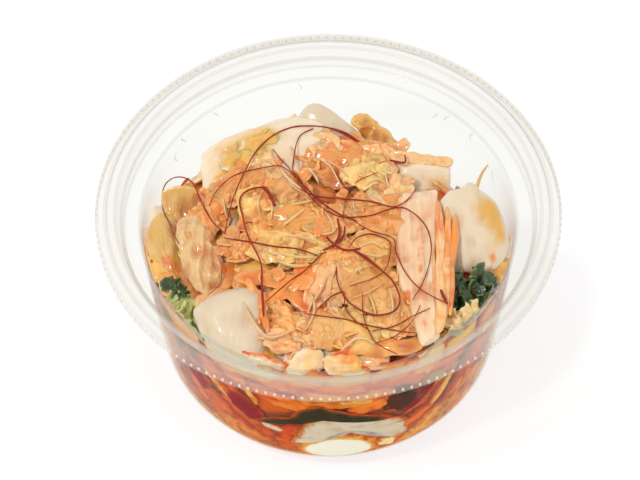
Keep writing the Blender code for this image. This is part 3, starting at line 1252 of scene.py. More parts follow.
@dataclass
class HeapCore:
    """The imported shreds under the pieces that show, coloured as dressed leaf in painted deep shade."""

    sink: float = 4.0
    inset: float = 3.2
    bottom: float = 3.0
    top_rings: int = 34
    side_rings: int = 30
    steps: int = 180

    def body(self) -> Body:
        """The core's shape.

        Returns:
            One closed lumpy body, under the top pieces and inside the wall pieces.
        """
        angles = np.linspace(0, math.tau, self.steps, endpoint=False)
        rows = []
        for share in np.linspace(0.03, 1, self.top_rings):
            edge = WALL.inside(40.0) - self.inset
            x, y = edge * share * np.cos(angles), edge * share * np.sin(angles)
            rows.append(np.column_stack([x, y, ground(x, y) - self.sink]))
        top = rows[-1][:, 2]
        for share in np.linspace(0, 1, self.side_rings)[1:]:
            height = top + (self.bottom - top) * share
            radius = WALL.inside(height) - self.inset
            rows.append(np.column_stack([radius * np.cos(angles), radius * np.sin(angles), height]))
        points = np.concatenate(rows + [np.array([[0, 0, 52.0], [0, 0, self.bottom]])])
        lumps = 1.5 * noise3(points / 7.0, 3) + 0.9 * (1 - 2 * np.abs(noise3(points / 3.2, 8)))
        out = points / np.maximum(np.linalg.norm(points * (1, 1, 0), axis=1), 8)[:, None]
        points = points + np.column_stack([out[:, 0] * lumps * 0.6, out[:, 1] * lumps * 0.6, lumps * 0.8])
        last = len(points) - 1
        faces = ring_faces(self.steps, len(rows), 0, last - 1, last)
        # painted shade in the low spots between the lumps
        values = {"hollow": np.clip(0.5 - lumps * 0.4, 0, 1), "oil": 0.4 + 0.3 * noise3(points / 12.0, 5)}
        return Body(points, faces, values)

    def build(self) -> None:
        """Makes the core."""
        piece = make_piece("heap_core", [self.body()], Kind.CORE.value)
        fix_normals(piece)
        seat_piece(piece, LEAF_SLOT, "cabbage_heap")


def seat_cuts(name: str, finish: Finish, cuts: Sequence[Union[Cut, "WallCut"]], slot: str,
              *nodes: str) -> None:
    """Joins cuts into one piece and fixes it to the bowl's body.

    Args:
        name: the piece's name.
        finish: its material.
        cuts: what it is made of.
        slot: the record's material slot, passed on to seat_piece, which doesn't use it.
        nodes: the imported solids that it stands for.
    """
    seat_piece(make_piece(name, [cut.body() for cut in cuts], finish), slot, *nodes)


@dataclass(frozen=True)
class Feature:
    """A large piece that is a sub-part of its own."""

    name: str
    kind: Kind
    cuts: tuple[Cut, ...]
    packed: bool = True

    def build(self) -> None:
        """Makes the piece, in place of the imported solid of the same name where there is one."""
        nodes = (self.name,) if self.packed else ()
        seat_cuts(self.name, self.kind.value, self.cuts, SLOTS.get(self.kind, LEAF_SLOT), *nodes)


def big(outline: Sequence[Point2], level: float, **sizes: object) -> Cut:
    """A large cut whose outline is given in the bowl's plan at a level."""
    return Cut(outline=outline, at=(0.0, 0.0, level), in_place=True, **sizes)


class LargePieces:
    """The large stems and leaves that lie in the top of the heap, from the back to the front."""

    BACK_LEFT = ((-36.5, 19), (-35.2, 23), (-30.5, 26.8), (-24, 30.8), (-15, 34.6), (-8, 35), (-2, 33),
                 (2, 27), (-4, 18), (-12, 10), (-21, 4), (-29, -3), (-33, 0), (-35.5, 10))
    BACK_WAVE = ((-12, 31), (-9, 35), (-6.5, 39), (-4, 40.5), (-1, 39.5), (4, 35), (9, 30), (13, 25.5),
                 (12, 21), (4, 16), (-6, 19))
    BACK_FRILL = ((7, 32), (7.4, 34.6), (9.6, 35.6), (12.6, 34), (15, 31), (18.5, 27.5), (20.5, 23),
                  (19, 19), (14, 22), (10, 28))
    RIGHT = ((31, 3), (33.5, 7.5), (36.5, 9), (38.6, 11.6), (40.5, 11), (42, 8.6), (45, 6.4), (48, 1.5),
             (49.6, -5), (50.2, -11), (47.5, -18), (44, -20), (38, -20.5), (32.5, -21), (31.2, -12),
             (30.8, -3))
    SLAB = ((20.5, 4.5), (21.5, 6.5), (26, 7), (30, 7), (30.8, 5), (30.2, -3), (29.8, -12), (28.6, -24),
            (29.2, -34), (29.4, -44), (27.5, -46.5), (24.4, -46), (22.6, -39), (20.4, -31), (18.4, -22),
            (18.6, -10), (19.8, -1))
    FOLD = ((-42, -3.8), (-39, -1.2), (-35.5, -2.5), (-32.5, -5.5), (-29.5, -11), (-28.4, -17), (-29, -24),
            (-32, -28), (-35.5, -27.5), (-38, -23.5), (-40, -18), (-42, -10))
    LOBE = ((-46.5, 8), (-44.8, 10.2), (-42, 10.9), (-38.4, 10.4), (-36.6, 8.2), (-35.4, 3), (-34.5, -4),
            (-38, -6), (-43.5, -4), (-46, 2))
    OUTER = ((-50.5, -4), (-49.5, 1), (-46.5, 3.5), (-42.5, 0.8), (-41, -7), (-39.2, -16), (-40.5, -19.5),
             (-44.5, -20), (-48.5, -15), (-50.2, -9))
    CHUNK = ((-36.8, -32), (-35.5, -29), (-32.5, -26.4), (-29, -24.6), (-24, -23.2), (-18.5, -24),
             (-16.5, -29), (-15.5, -38), (-16, -46), (-18, -51), (-24, -51), (-30, -46), (-34.5, -39))
    SOAKED = ((0.1, -46.4), (1.5, -45), (4.6, -43.6), (9, -42), (13, -41.2), (19, -41), (23.4, -41),
              (24.4, -43), (24, -45.5), (19, -47), (14.3, -47.8), (7.9, -47.2), (3, -47.6))

    # Zone spots that darken a piece towards its darkest colour are painted shade.
    FEATURES = (
        Feature("stem_back_left", Kind.STEM, (
            big(BACK_LEFT, 56.5, thickness=4, fullness=6, crown=1.2, pitch=14, crumple=(0.8, 7, 0.4),
                frill=0.02, tint=0.75, seed=3, rings=18, steps=110, grain=20,
                zones=(("second", -24, 20, 8, 0.8), ("second", -17, 25, 5, 0.5),
                       ("second", -30, 15, 5, 0.4), ("oil", -29, 6, 6, 0.6), ("oil", -20, 9, 7, 0.6),
                       ("oil", -32, 13, 3, 0.3), ("hollow", -26, 24, 1.6, 0.5))),
            Cut(oval(15, 8, 2.2), (-18.5, 23.5, 59.6), thickness=1.2, crown=1, crumple=(1.4, 3.2, 0.5),
                frill=0.16, ripple=0.6, turn=38, pitch=10, second=0.9, tint=0.7, seed=21, rings=16,
                steps=90, grain=90),
            Cut(oval(11, 6, 2.2), (-26.5, 19.5, 59.2), thickness=1, crown=0.6, crumple=(1.2, 3, 0.5),
                frill=0.18, ripple=0.5, turn=60, pitch=6, oil=0.05, second=0.9, tint=0.6, seed=22, rings=14,
                steps=80, grain=90))),
        Feature("stem_back_centre", Kind.STEM, (
            big(BACK_WAVE, 57, thickness=3.6, fullness=5, crown=0.8, pitch=32, crumple=(0.6, 8, 0.6),
                tint=0.25, seed=4, rings=14, steps=90, grain=70,
                zones=(("oil", -8, 36.5, 1.3, 0.5), ("oil", 9, 29.5, 1.6, 0.5),
                       ("second", 6, 27, 5, 0.4))),)),
        Feature("leaf_back_frill", Kind.LEAF, (
            big(BACK_FRILL, 58.2, thickness=1.8, crown=1.2, pitch=24, crumple=(1, 2.6, 1), frill=0.08,
                oil=0.25, tint=0.35, seed=5, rings=12, steps=80, grain=-50,
                zones=(("hollow", 13, 28, 3, 0.6),)),), packed=False),
        Feature("stem_block_back_right", Kind.STEM, (
            Cut(oval(16, 10, 5), (26.8, 13.8, 54.6), thickness=4.6, fullness=7, crumple=(0.4, 5, 1),
                pitch=44, turn=-7, tint=0.7, seed=6, rings=12, steps=80,
                zones=(("second", 4, -2, 4, 0.7),)),)),
        Feature("stem_block_rind", Kind.BLUSH, (
            Cut(oval(17, 3.6, 4), (26.4, 17.4, 59), thickness=1.4, fullness=6, crumple=(0.6, 3, 1),
                frill=0.08, pitch=20, turn=-10, oil=0.25, second=0.8, tint=0.5, seed=7, rings=9,
                steps=70),), packed=False),
        Feature("stem_right", Kind.STEM, (
            big(RIGHT, 55.5, thickness=4.5, fullness=5, crown=1.2, pitch=14, roll=6, crumple=(1, 8, 1.6),
                frill=0.02, tint=0.5, seed=8, rings=18, steps=120, grain=80,
                zones=(("second", 45, -1, 4.5, 0.8), ("second", 47, -8, 4, 0.5),
                       ("oil", 45.5, -14, 1.4, 0.6), ("oil", 44.8, -17, 1.4, 0.5),
                       ("oil", 33, -18, 2.5, 0.4), ("second", 36, -3, 4, 0.2),
                       ("hollow", 38, -17, 4, 0.4))),)),
        Feature("stem_slab_long", Kind.STEM_RIBBED, (
            big(SLAB, 57.5, thickness=4.2, fullness=7, crown=0.4, pitch=2, ribs=(0.28, 2.9),
                crumple=(0.5, 6, 1), oil=0.05, tint=0.6, seed=9, rings=16, steps=130, grain=90,
                zones=(*(("oil", 25.3, -6 - 1.6 * n, 1.3, 0.24 + 0.08 * (n % 3)) for n in range(24)),
                       ("oil", 20.4, -30, 2.2, 1), ("oil", 21.6, -36, 1.6, 0.8),
                       ("second", 27.8, -22, 2.2, 0.8), ("second", 28, -36, 2, 0.8),
                       ("second", 28.3, 2, 3, 0.6), ("hollow", 22, -20, 3, 0.4))),)),
        Feature("leaf_fold_left", Kind.BLUSH, (
            big(FOLD, 56.5, thickness=2.6, fullness=4, crown=2, pitch=12, roll=8, ribs=(0.3, 2.6),
                crumple=(1.1, 4.6, 1.2), frill=0.03, oil=0.1, second=0.9, tint=0.2, seed=10, rings=26,
                steps=140, grain=110,
                zones=(("oil", -31, -9, 2.2, 0.7), ("oil", -29.5, -18, 2, 0.6), ("oil", -41, -6, 2, 0.5),
                       ("oil", -34, -26, 2.5, 0.4))),)),
        Feature("leaf_curl_left", Kind.LEAF, (
            big(LOBE, 56, thickness=1.6, fullness=5, crown=-1.2, pitch=40, crumple=(0.6, 5.5, 1.2),
                frill=0.03, tint=0.15, seed=11, rings=16, steps=100, grain=85,
                zones=(("hollow", -40, 3, 3, 0.8), ("hollow", -37, 6, 2, 0.6), ("oil", -38, -3, 3.5, 0.4),
                       ("second", -44, 5, 2.5, 0.7))),
            big(OUTER, 53, thickness=1.8, crown=1.2, pitch=10, crumple=(0.7, 6, 1.2), frill=0.03,
                second=0.4, oil=0.1, tint=0.2, seed=12, rings=16, steps=100, grain=100,
                zones=(("oil", -44, -16, 4, 0.8), ("hollow", -43, -4, 2, 0.6),
                       ("oil", -49, -6, 1.5, 0.4))))),
        Feature("stem_front_left", Kind.STEM, (
            big(CHUNK, 53.5, thickness=8, fullness=4, crown=1.2, pitch=20, crumple=(0.5, 8, 1), oil=-0.1,
                tint=0.36, seed=13, rings=16, steps=110, grain=80,
                zones=(("oil", -18, -28, 3.5, 0.45), ("oil", -30, -25.4, 2, 0.3),
                       ("oil", -18, -42, 4, 0.3))),)),
        Feature("leaf_front_small", Kind.STEM, (
            Cut(oval(11.5, 7.5, 2.6), (-6.8, -47.2, 52.6), thickness=3.5, crown=1.6, pitch=34, turn=8,
                crumple=(0.7, 4.5, 1), frill=0.06, second=0.5, tint=1, seed=14, rings=14, steps=70),
            Cut(oval(11.5, 6, 2.6), (3.8, -48.6, 52.4), thickness=3, crown=0.8, pitch=30, crumple=(1, 3, 1),
                frill=0.12, oil=0.15, second=0.8, tint=0.9, seed=15, rings=14, steps=70,
                zones=(("oil", 1, 2, 2.5, 0.8),))), packed=False),
        Feature("leaf_front_right", Kind.TAN, (
            big(SOAKED, 54.5, thickness=2.2, crown=1.8, pitch=16, crumple=(1, 5, 0.6), second=0.4, tint=0.8,
                seed=16, rings=14, steps=100,
                zones=(("oil", 3.5, -45, 3, 1.2), ("second", 8, -45, 3, 1),
                       ("oil", 16, -41.5, 2.5, 0.6))),)),
    )

    def build(self) -> None:
        """Makes every large piece."""
        for feature in self.FEATURES:
            feature.build()


@dataclass
class DressedMass:
    """The crinkled leaf in the middle: folded sheets that overlap, with small scraps between them."""

    seed: int = 21
    scraps: int = 260
    # finish, middle, length, width, level, turn, pitch and roll of each sheet
    sheets: tuple = (
        (Kind.DRESSED, 4, 19, 27, 15, 57.4, -8, 8, 0), (Kind.BLUSH, -4, 25, 15, 10, 57.8, -30, 10, -8),
        (Kind.LEAF, 11, 13, 13, 10, 58.2, 20, -6, 4), (Kind.BLUSH, 14, 17, 14, 12, 57, 5, 14, 6),
        (Kind.DRESSED, -26, 8, 20, 11, 56.6, 58, 4, -12), (Kind.BLUSH, -16, 15, 21, 8, 57.4, -52, 8, 6),
        (Kind.DRESSED, -33, -1, 16, 9, 56.4, 70, 0, 6), (Kind.LEAF, -19.5, 2.5, 12, 11, 57.8, 30, 6, 6),
        (Kind.DRESSED, -12, 7, 13, 10, 57.6, 30, 0, -10), (Kind.TAN, -8, -4, 17, 12, 57.2, 15, 6, 4),
        (Kind.LEAF, -12, -13, 21, 9, 57.6, -8, 12, 0), (Kind.DRESSED, 3, -3, 16, 12, 57.2, 40, -8, 8),
        (Kind.DRESSED, 14, -2, 16, 14, 57.2, -20, 4, -8), (Kind.TAN, 12, -14, 14, 12, 57.6, 10, 8, 4),
        (Kind.BLUSH, 17, 6, 14, 12, 57.2, 60, 0, -6), (Kind.DRESSED, -22, -10, 14, 9, 56.6, 40, 6, 0),
        (Kind.TAN, 11, -25, 19, 16, 57, 60, 4, 8), (Kind.DRESSED, 17, -34, 16, 13, 56.6, 80, 4, 4),
        (Kind.BLUSH, -1, -29, 21, 10, 57, 72, 0, -10), (Kind.DRESSED, 4, -19, 15, 11, 57.2, 20, 10, 4),
        (Kind.DRESSED, 0, -40, 17, 10, 55.8, 0, 14, 0), (Kind.LEAF, 8, -40.5, 15, 9, 56.2, -12, 14, 0),
        (Kind.BLUSH, -9, -41, 16, 8, 54.8, 18, 10, 0), (Kind.DRESSED, -13, -35, 15, 7, 55.4, -52, 6, -6),
    )

    def sheet_cuts(self) -> dict[Kind, list[Cut]]:
        """The folded sheets.

        Returns:
            The sheets of each finish.
        """
        made: dict[Kind, list[Cut]] = {}
        for number, (kind, x, y, length, width, level, turn, pitch, roll) in enumerate(self.sheets):
            made.setdefault(kind, []).append(Cut(
                oval(length * 1.1, width * 1.15, 2.3), (x, y, level), thickness=1.6, crown=1.6,
                crumple=(1.5, 3.6, 0.6), frill=0.1, ripple=0.5, ripples=7, second=0.3 + 0.2 * (number % 3),
                grain=40 * number, turn=turn, pitch=pitch, roll=roll, oil=0.05 + 0.12 * (number % 4),
                tint=0.35 + 0.2 * (number % 4), seed=30 + number, rings=20, steps=110))
        return made

    def scrap_cuts(self, made: dict[Kind, list[Cut]]) -> None:
        """Adds the curled scraps.

        Args:
            made: the sheets of each finish, which the scraps join.
        """
        rng = np.random.default_rng(self.seed)
        for _ in range(self.scraps):
            kind, x, y, length, width, level, turn, _, _ = self.sheets[rng.integers(len(self.sheets))]
            size = rng.uniform(3.5, 8.5)
            along, across = rng.uniform(-0.45, 0.45) * length, rng.uniform(-0.45, 0.45) * width
            lean = math.radians(turn)
            spot = (x + along * math.cos(lean) - across * math.sin(lean),
                    y + along * math.sin(lean) + across * math.cos(lean), level + rng.uniform(0.4, 1.5))
            made[kind].append(Cut(
                oval(size, size * rng.uniform(0.35, 0.75), 2.2), spot, thickness=1.1,
                crumple=(0.9, 2.4, 0.6), frill=0.2, ripple=0.3, ripples=4, bend=(rng.uniform(5, 12), 0),
                pitch=rng.uniform(-22, 26), roll=rng.uniform(-22, 22), turn=turn + rng.uniform(-60, 60),
                oil=rng.uniform(-0.1, 0.5), second=rng.uniform(0, 0.7), tint=rng.uniform(0.2, 1),
                seed=60 + len(made[kind]), rings=6, steps=30))

    def build(self) -> None:
        """Makes one object for each finish."""
        made = self.sheet_cuts()
        self.scrap_cuts(made)
        for kind, cuts in made.items():
            seat_cuts("crinkled_" + kind.value.name, kind.value, cuts, LEAF_SLOT)


@dataclass
class Fillers:
    """Smaller cut pieces that cover the rest of the heap's top."""

    count: int = 120
    slope_count: int = 130
    # finish, place in plan and level of pieces along the wall
    edge_spots: tuple = (
        (Kind.TAN, -48, -6, 51), (Kind.LEAF, -46.5, -14, 51.2), (Kind.TAN, -43, -21, 51.2),
        (Kind.STEM, -47.5, 3, 50.5), (Kind.STEM, 48, -9, 50.5), (Kind.LEAF, 46.5, -16, 51),
        (Kind.TAN, 43, -23.5, 51.2), (Kind.LEAF, 39, -30, 51.5))
    laid_depth: float = 3.0
    reach: float = 47.0
    seed: int = 5
    kinds: tuple[tuple[Kind, float], ...] = (
        (Kind.LEAF, 0.3), (Kind.STEM, 0.22), (Kind.TAN, 0.2), (Kind.BLUSH, 0.24), (Kind.ORANGE, 0.04))

    def laid(self, cut: Cut) -> Cut:
        """Lays a cut on the slope at its place.

        Args:
            cut: the cut.

        Returns:
            The same cut, with its outline turned first and then leaned downhill.
        """
        x, y, _ = cut.at
        level, east, north = ground(np.array([x, x + 2, x]), np.array([y, y, y + 2]))
        fall = np.array([level - east, level - north]) / 2
        turn = math.radians(cut.turn)
        outline = [(u * math.cos(turn) - v * math.sin(turn), u * math.sin(turn) + v * math.cos(turn))
                   for u, v in cut.outline]
        return replace(cut, outline=outline, at=(x, y, float(level) - self.laid_depth), pitch=0,
                       roll=math.degrees(math.atan(math.hypot(*fall))),
                       turn=math.degrees(math.atan2(fall[1], fall[0])))

    def build(self) -> None:
        """Scatters the pieces evenly, one object for each kind."""
        rng = np.random.default_rng(self.seed)
        made = {kind: [] for kind, _ in self.kinds}
        weights = [share for _, share in self.kinds]
        for number in range(self.count):
            reach = self.reach * math.sqrt((number + 0.5) / self.count)
            angle = number * GOLDEN_ANGLE
            x, y = reach * math.cos(angle), reach * math.sin(angle)
            kind = self.kinds[rng.choice(len(weights), p=weights)][0]
            kind = Kind.LEAF if kind is Kind.ORANGE and y < -30 else kind
            size = rng.uniform(9, 16)
            level = float(ground(np.array([x]), np.array([y]))[0])
            pitch = 0.0 if y > 24 else rng.uniform(-12, 16)
            cut = Cut(
                oval(size, size * rng.uniform(0.5, 0.8), rng.uniform(2.2, 3.6)), (x, y, level - 2.6),
                thickness=rng.uniform(1.6, 3.6), crown=0.8, crumple=(0.5, 4, 1), frill=0.08, pitch=pitch,
                roll=rng.uniform(-14, 14), turn=rng.uniform(0, 360), oil=rng.uniform(0.1, 0.6),
                tint=rng.uniform(0, 1), seed=200 + number, rings=6, steps=30)
            made[kind].append(self.laid(cut) if y > 5 else cut)
        for number in range(self.slope_count):
            angle = math.radians(rng.uniform(4, 176))
            reach = rng.uniform(20, 49)
            x, y = reach * math.cos(angle), 3 + reach * math.sin(angle)
            kind = self.kinds[rng.choice(len(weights), p=weights)][0]
            size = rng.uniform(11, 19)
            made[kind].append(self.laid(Cut(
                oval(size, size * rng.uniform(0.4, 0.75), rng.uniform(2.2, 3.6)), (x, y, 0),
                thickness=rng.uniform(1.4, 2.6), crown=0.6, crumple=(0.7, 4, 1), frill=0.16,
                turn=rng.uniform(0, 360), oil=rng.uniform(0.1, 0.6), tint=rng.uniform(0, 1),
                seed=500 + number, rings=6, steps=30)))
        for number, (kind, x, y, level) in enumerate(self.edge_spots):
            made[kind].append(Cut(
                oval(12, 6.5, 2.6), (x, y, level), thickness=2, crown=0.8, crumple=(0.6, 4, 1), frill=0.12,
                turn=math.degrees(math.atan2(x, -y)), oil=0.1, tint=0.8, seed=700 + number, rings=6,
                steps=30))
        for kind, cuts in made.items():
            seat_cuts("filler_" + kind.name.lower(), kind.value, cuts, LEAF_SLOT)


@dataclass
class Greens:
    """Dark green leaf at the right and left, with its pale stems."""

    right: tuple = ((35, -24.5, 55.5), (41, -23.5, 56), (46, -25.5, 54.3), (41, -28.5, 54), (35.5, -29, 54))
    left: tuple = ((-43, -22.5, 54), (-41, -24.5, 53.4))
    pale_left: tuple = ((-40.5, -27.5, 52.8), (-38, -31.5, 52.4), (-37, -36, 51.5))
    yellow_right: tuple = ((35, -36, 54), (39, -34.5, 54), (34, -39.5, 53.6), (29, -42.5, 53))

    def clump(self, spots: Sequence[Point3], size: float, seed: int) -> tuple[Cut, ...]:
        """Crumpled leaves of a size at the given spots."""
        return tuple(Cut(
            oval(size, size * 0.8, 2.2), spot, thickness=1, crumple=(1.3, 3.6, 1), frill=0.12, ripple=0.9,
            pitch=18 + 14 * (n % 3), roll=20 - 20 * (n % 3), turn=70 * n, oil=0.2, tint=0.3 + 0.2 * (n % 4),
            seed=seed + n, rings=16, steps=90) for n, spot in enumerate(spots))

    def build(self) -> None:
        """Makes both clumps and the pale leaf beside each."""
        for name, kind, spots, size, seed, packed in (
                ("green_leaf_right", Kind.GREEN, self.right, 9.5, 80, True),
                ("green_leaf_left", Kind.GREEN, self.left, 6, 90, True),
                ("pale_leaf_left", Kind.PALE_GREEN, self.pale_left, 8.5, 95, False),
                ("yellow_leaf_right", Kind.STEM_YELLOW, self.yellow_right, 10.5, 99, False)):
            Feature(name, kind, self.clump(spots, size, seed), packed).build()


@dataclass
class Carrots:
    """Carrot shreds: a bundle beside the long slab, and loose shreds in the middle."""

    # centre line and widths of each long shred, in plan
    ribbons: tuple = (
        (((30.6, 1), (30.8, -10), (30, -22), (30.2, -34), (29.2, -43)), (1.2, 2.6, 2.2, 3, 1.6)),
        (((33, -1), (32.6, -11), (31.8, -20), (31.6, -30), (31, -38)), (1, 2.4, 2.8, 2, 1)),
        (((35, -3), (34.6, -10), (33.6, -18), (33, -24)), (0.8, 2.2, 2.2, 0.8)),
        (((28.6, -12), (28.4, -24), (28.8, -36), (28, -43.5)), (0.8, 1.6, 1.8, 1)),
        (((33.6, -16), (33, -28), (32.4, -36)), (0.8, 2, 1)),
    )
    # middle, length, width, turn and pitch of each loose slice
    slices: tuple = (
        (-18, -23.5, 58.2, 15, 4.4, 8, 12), (-11.5, -25, 57.8, 16, 5, -6, 8),
        (-6, -23, 58.2, 11, 5.5, -62, 14), (-14, -29, 57.2, 13, 3.8, 22, 10),
        (-7.5, -30.5, 57.2, 10, 5, -40, 6), (-1.5, -33, 57.4, 9, 3, 62, 8),
        (-2.5, -6.5, 58.8, 8, 3, 84, 6), (-21.5, -33, 56.8, 12, 2.2, -58, 14),
        (-14, -38.5, 56, 12, 2.6, -10, 14), (-3, -27, 57.8, 9, 4, 30, 10),
        (-27, -11, 56.8, 12, 2.2, -68, 0), (-24, -4, 57.6, 9, 2, 70, 0), (-31, 3, 57.4, 12, 2.2, 62, 0),
        (-16, 15.5, 58.2, 11, 2.4, -50, 0), (2, 22, 59, 10, 1.8, -24, 0),
        (-19.5, -30, 58.6, 14, 2.6, -62, 16), (-17.5, -37, 57.6, 9, 2, -70, 16),
    )

    def bundle(self) -> tuple[Cut, ...]:
        """Long flat shreds side by side, some over others."""
        return tuple(
            big(ribbon(line, widths), 59.2 - 0.25 * n, thickness=1.3, crown=0.3, crumple=(0.35, 5, 1),
                pitch=2, oil=0.0 + 0.1 * (n % 3), second=0.8 - 0.3 * (n % 3), tint=0.7, seed=150 + n,
                rings=5, steps=90, grain=90)
            for n, (line, widths) in enumerate(self.ribbons))

    def build(self) -> None:
        """Makes the bundle and the loose shreds."""
        Feature("carrot_bundle", Kind.CARROT, self.bundle()).build()
        slices = tuple(
            Cut(oval(length, width, 2.2), (x, y, level), thickness=1.1, crumple=(0.5, 4, 1), frill=0.16,
                bend=(16, 0), turn=turn, pitch=pitch, oil=0.1 + 0.1 * (n % 4), tint=0.3 + 0.2 * (n % 4),
                seed=140 + n, rings=7, steps=40)
            for n, (x, y, level, length, width, turn, pitch) in enumerate(self.slices))
        Feature("carrot_slices", Kind.CARROT, slices, packed=False).build()


@dataclass(frozen=True)
class WallCut:
    """A piece pressed flat against the inside of the wall, seen through it."""

    cut: Cut
    bearing: float
    height: float
    inset: float = 0.35

    def body(self) -> Body:
        """Wraps the cut onto the wall.

        Returns:
            Its body, with the cut's own X along the wall and its Y up it.
        """
        body = self.cut.local()
        turn = math.radians(self.cut.turn)
        x = body.points[:, 0] * math.cos(turn) - body.points[:, 1] * math.sin(turn)
        y = body.points[:, 0] * math.sin(turn) + body.points[:, 1] * math.cos(turn)
        if self.cut.in_place:
            middle = smooth_loop(self.cut.outline, self.cut.steps).mean(axis=0)
            x, y = x + middle[0], y + middle[1]
        height = np.maximum(self.height + y, 1.6)
        proud = self.cut.thickness / 2 + self.cut.crumple[0] * 0.3 - body.points[:, 2]
        radius = WALL.inside(height) - np.maximum(proud, 0) - self.inset
        along = MEAN_RADIUS if self.cut.in_place else WALL.inside(self.height)
        bearing = math.radians(self.bearing) + x / along
        points = np.column_stack([radius * np.sin(bearing), -radius * np.cos(bearing), height])
        return Body(points, body.faces, body.values)


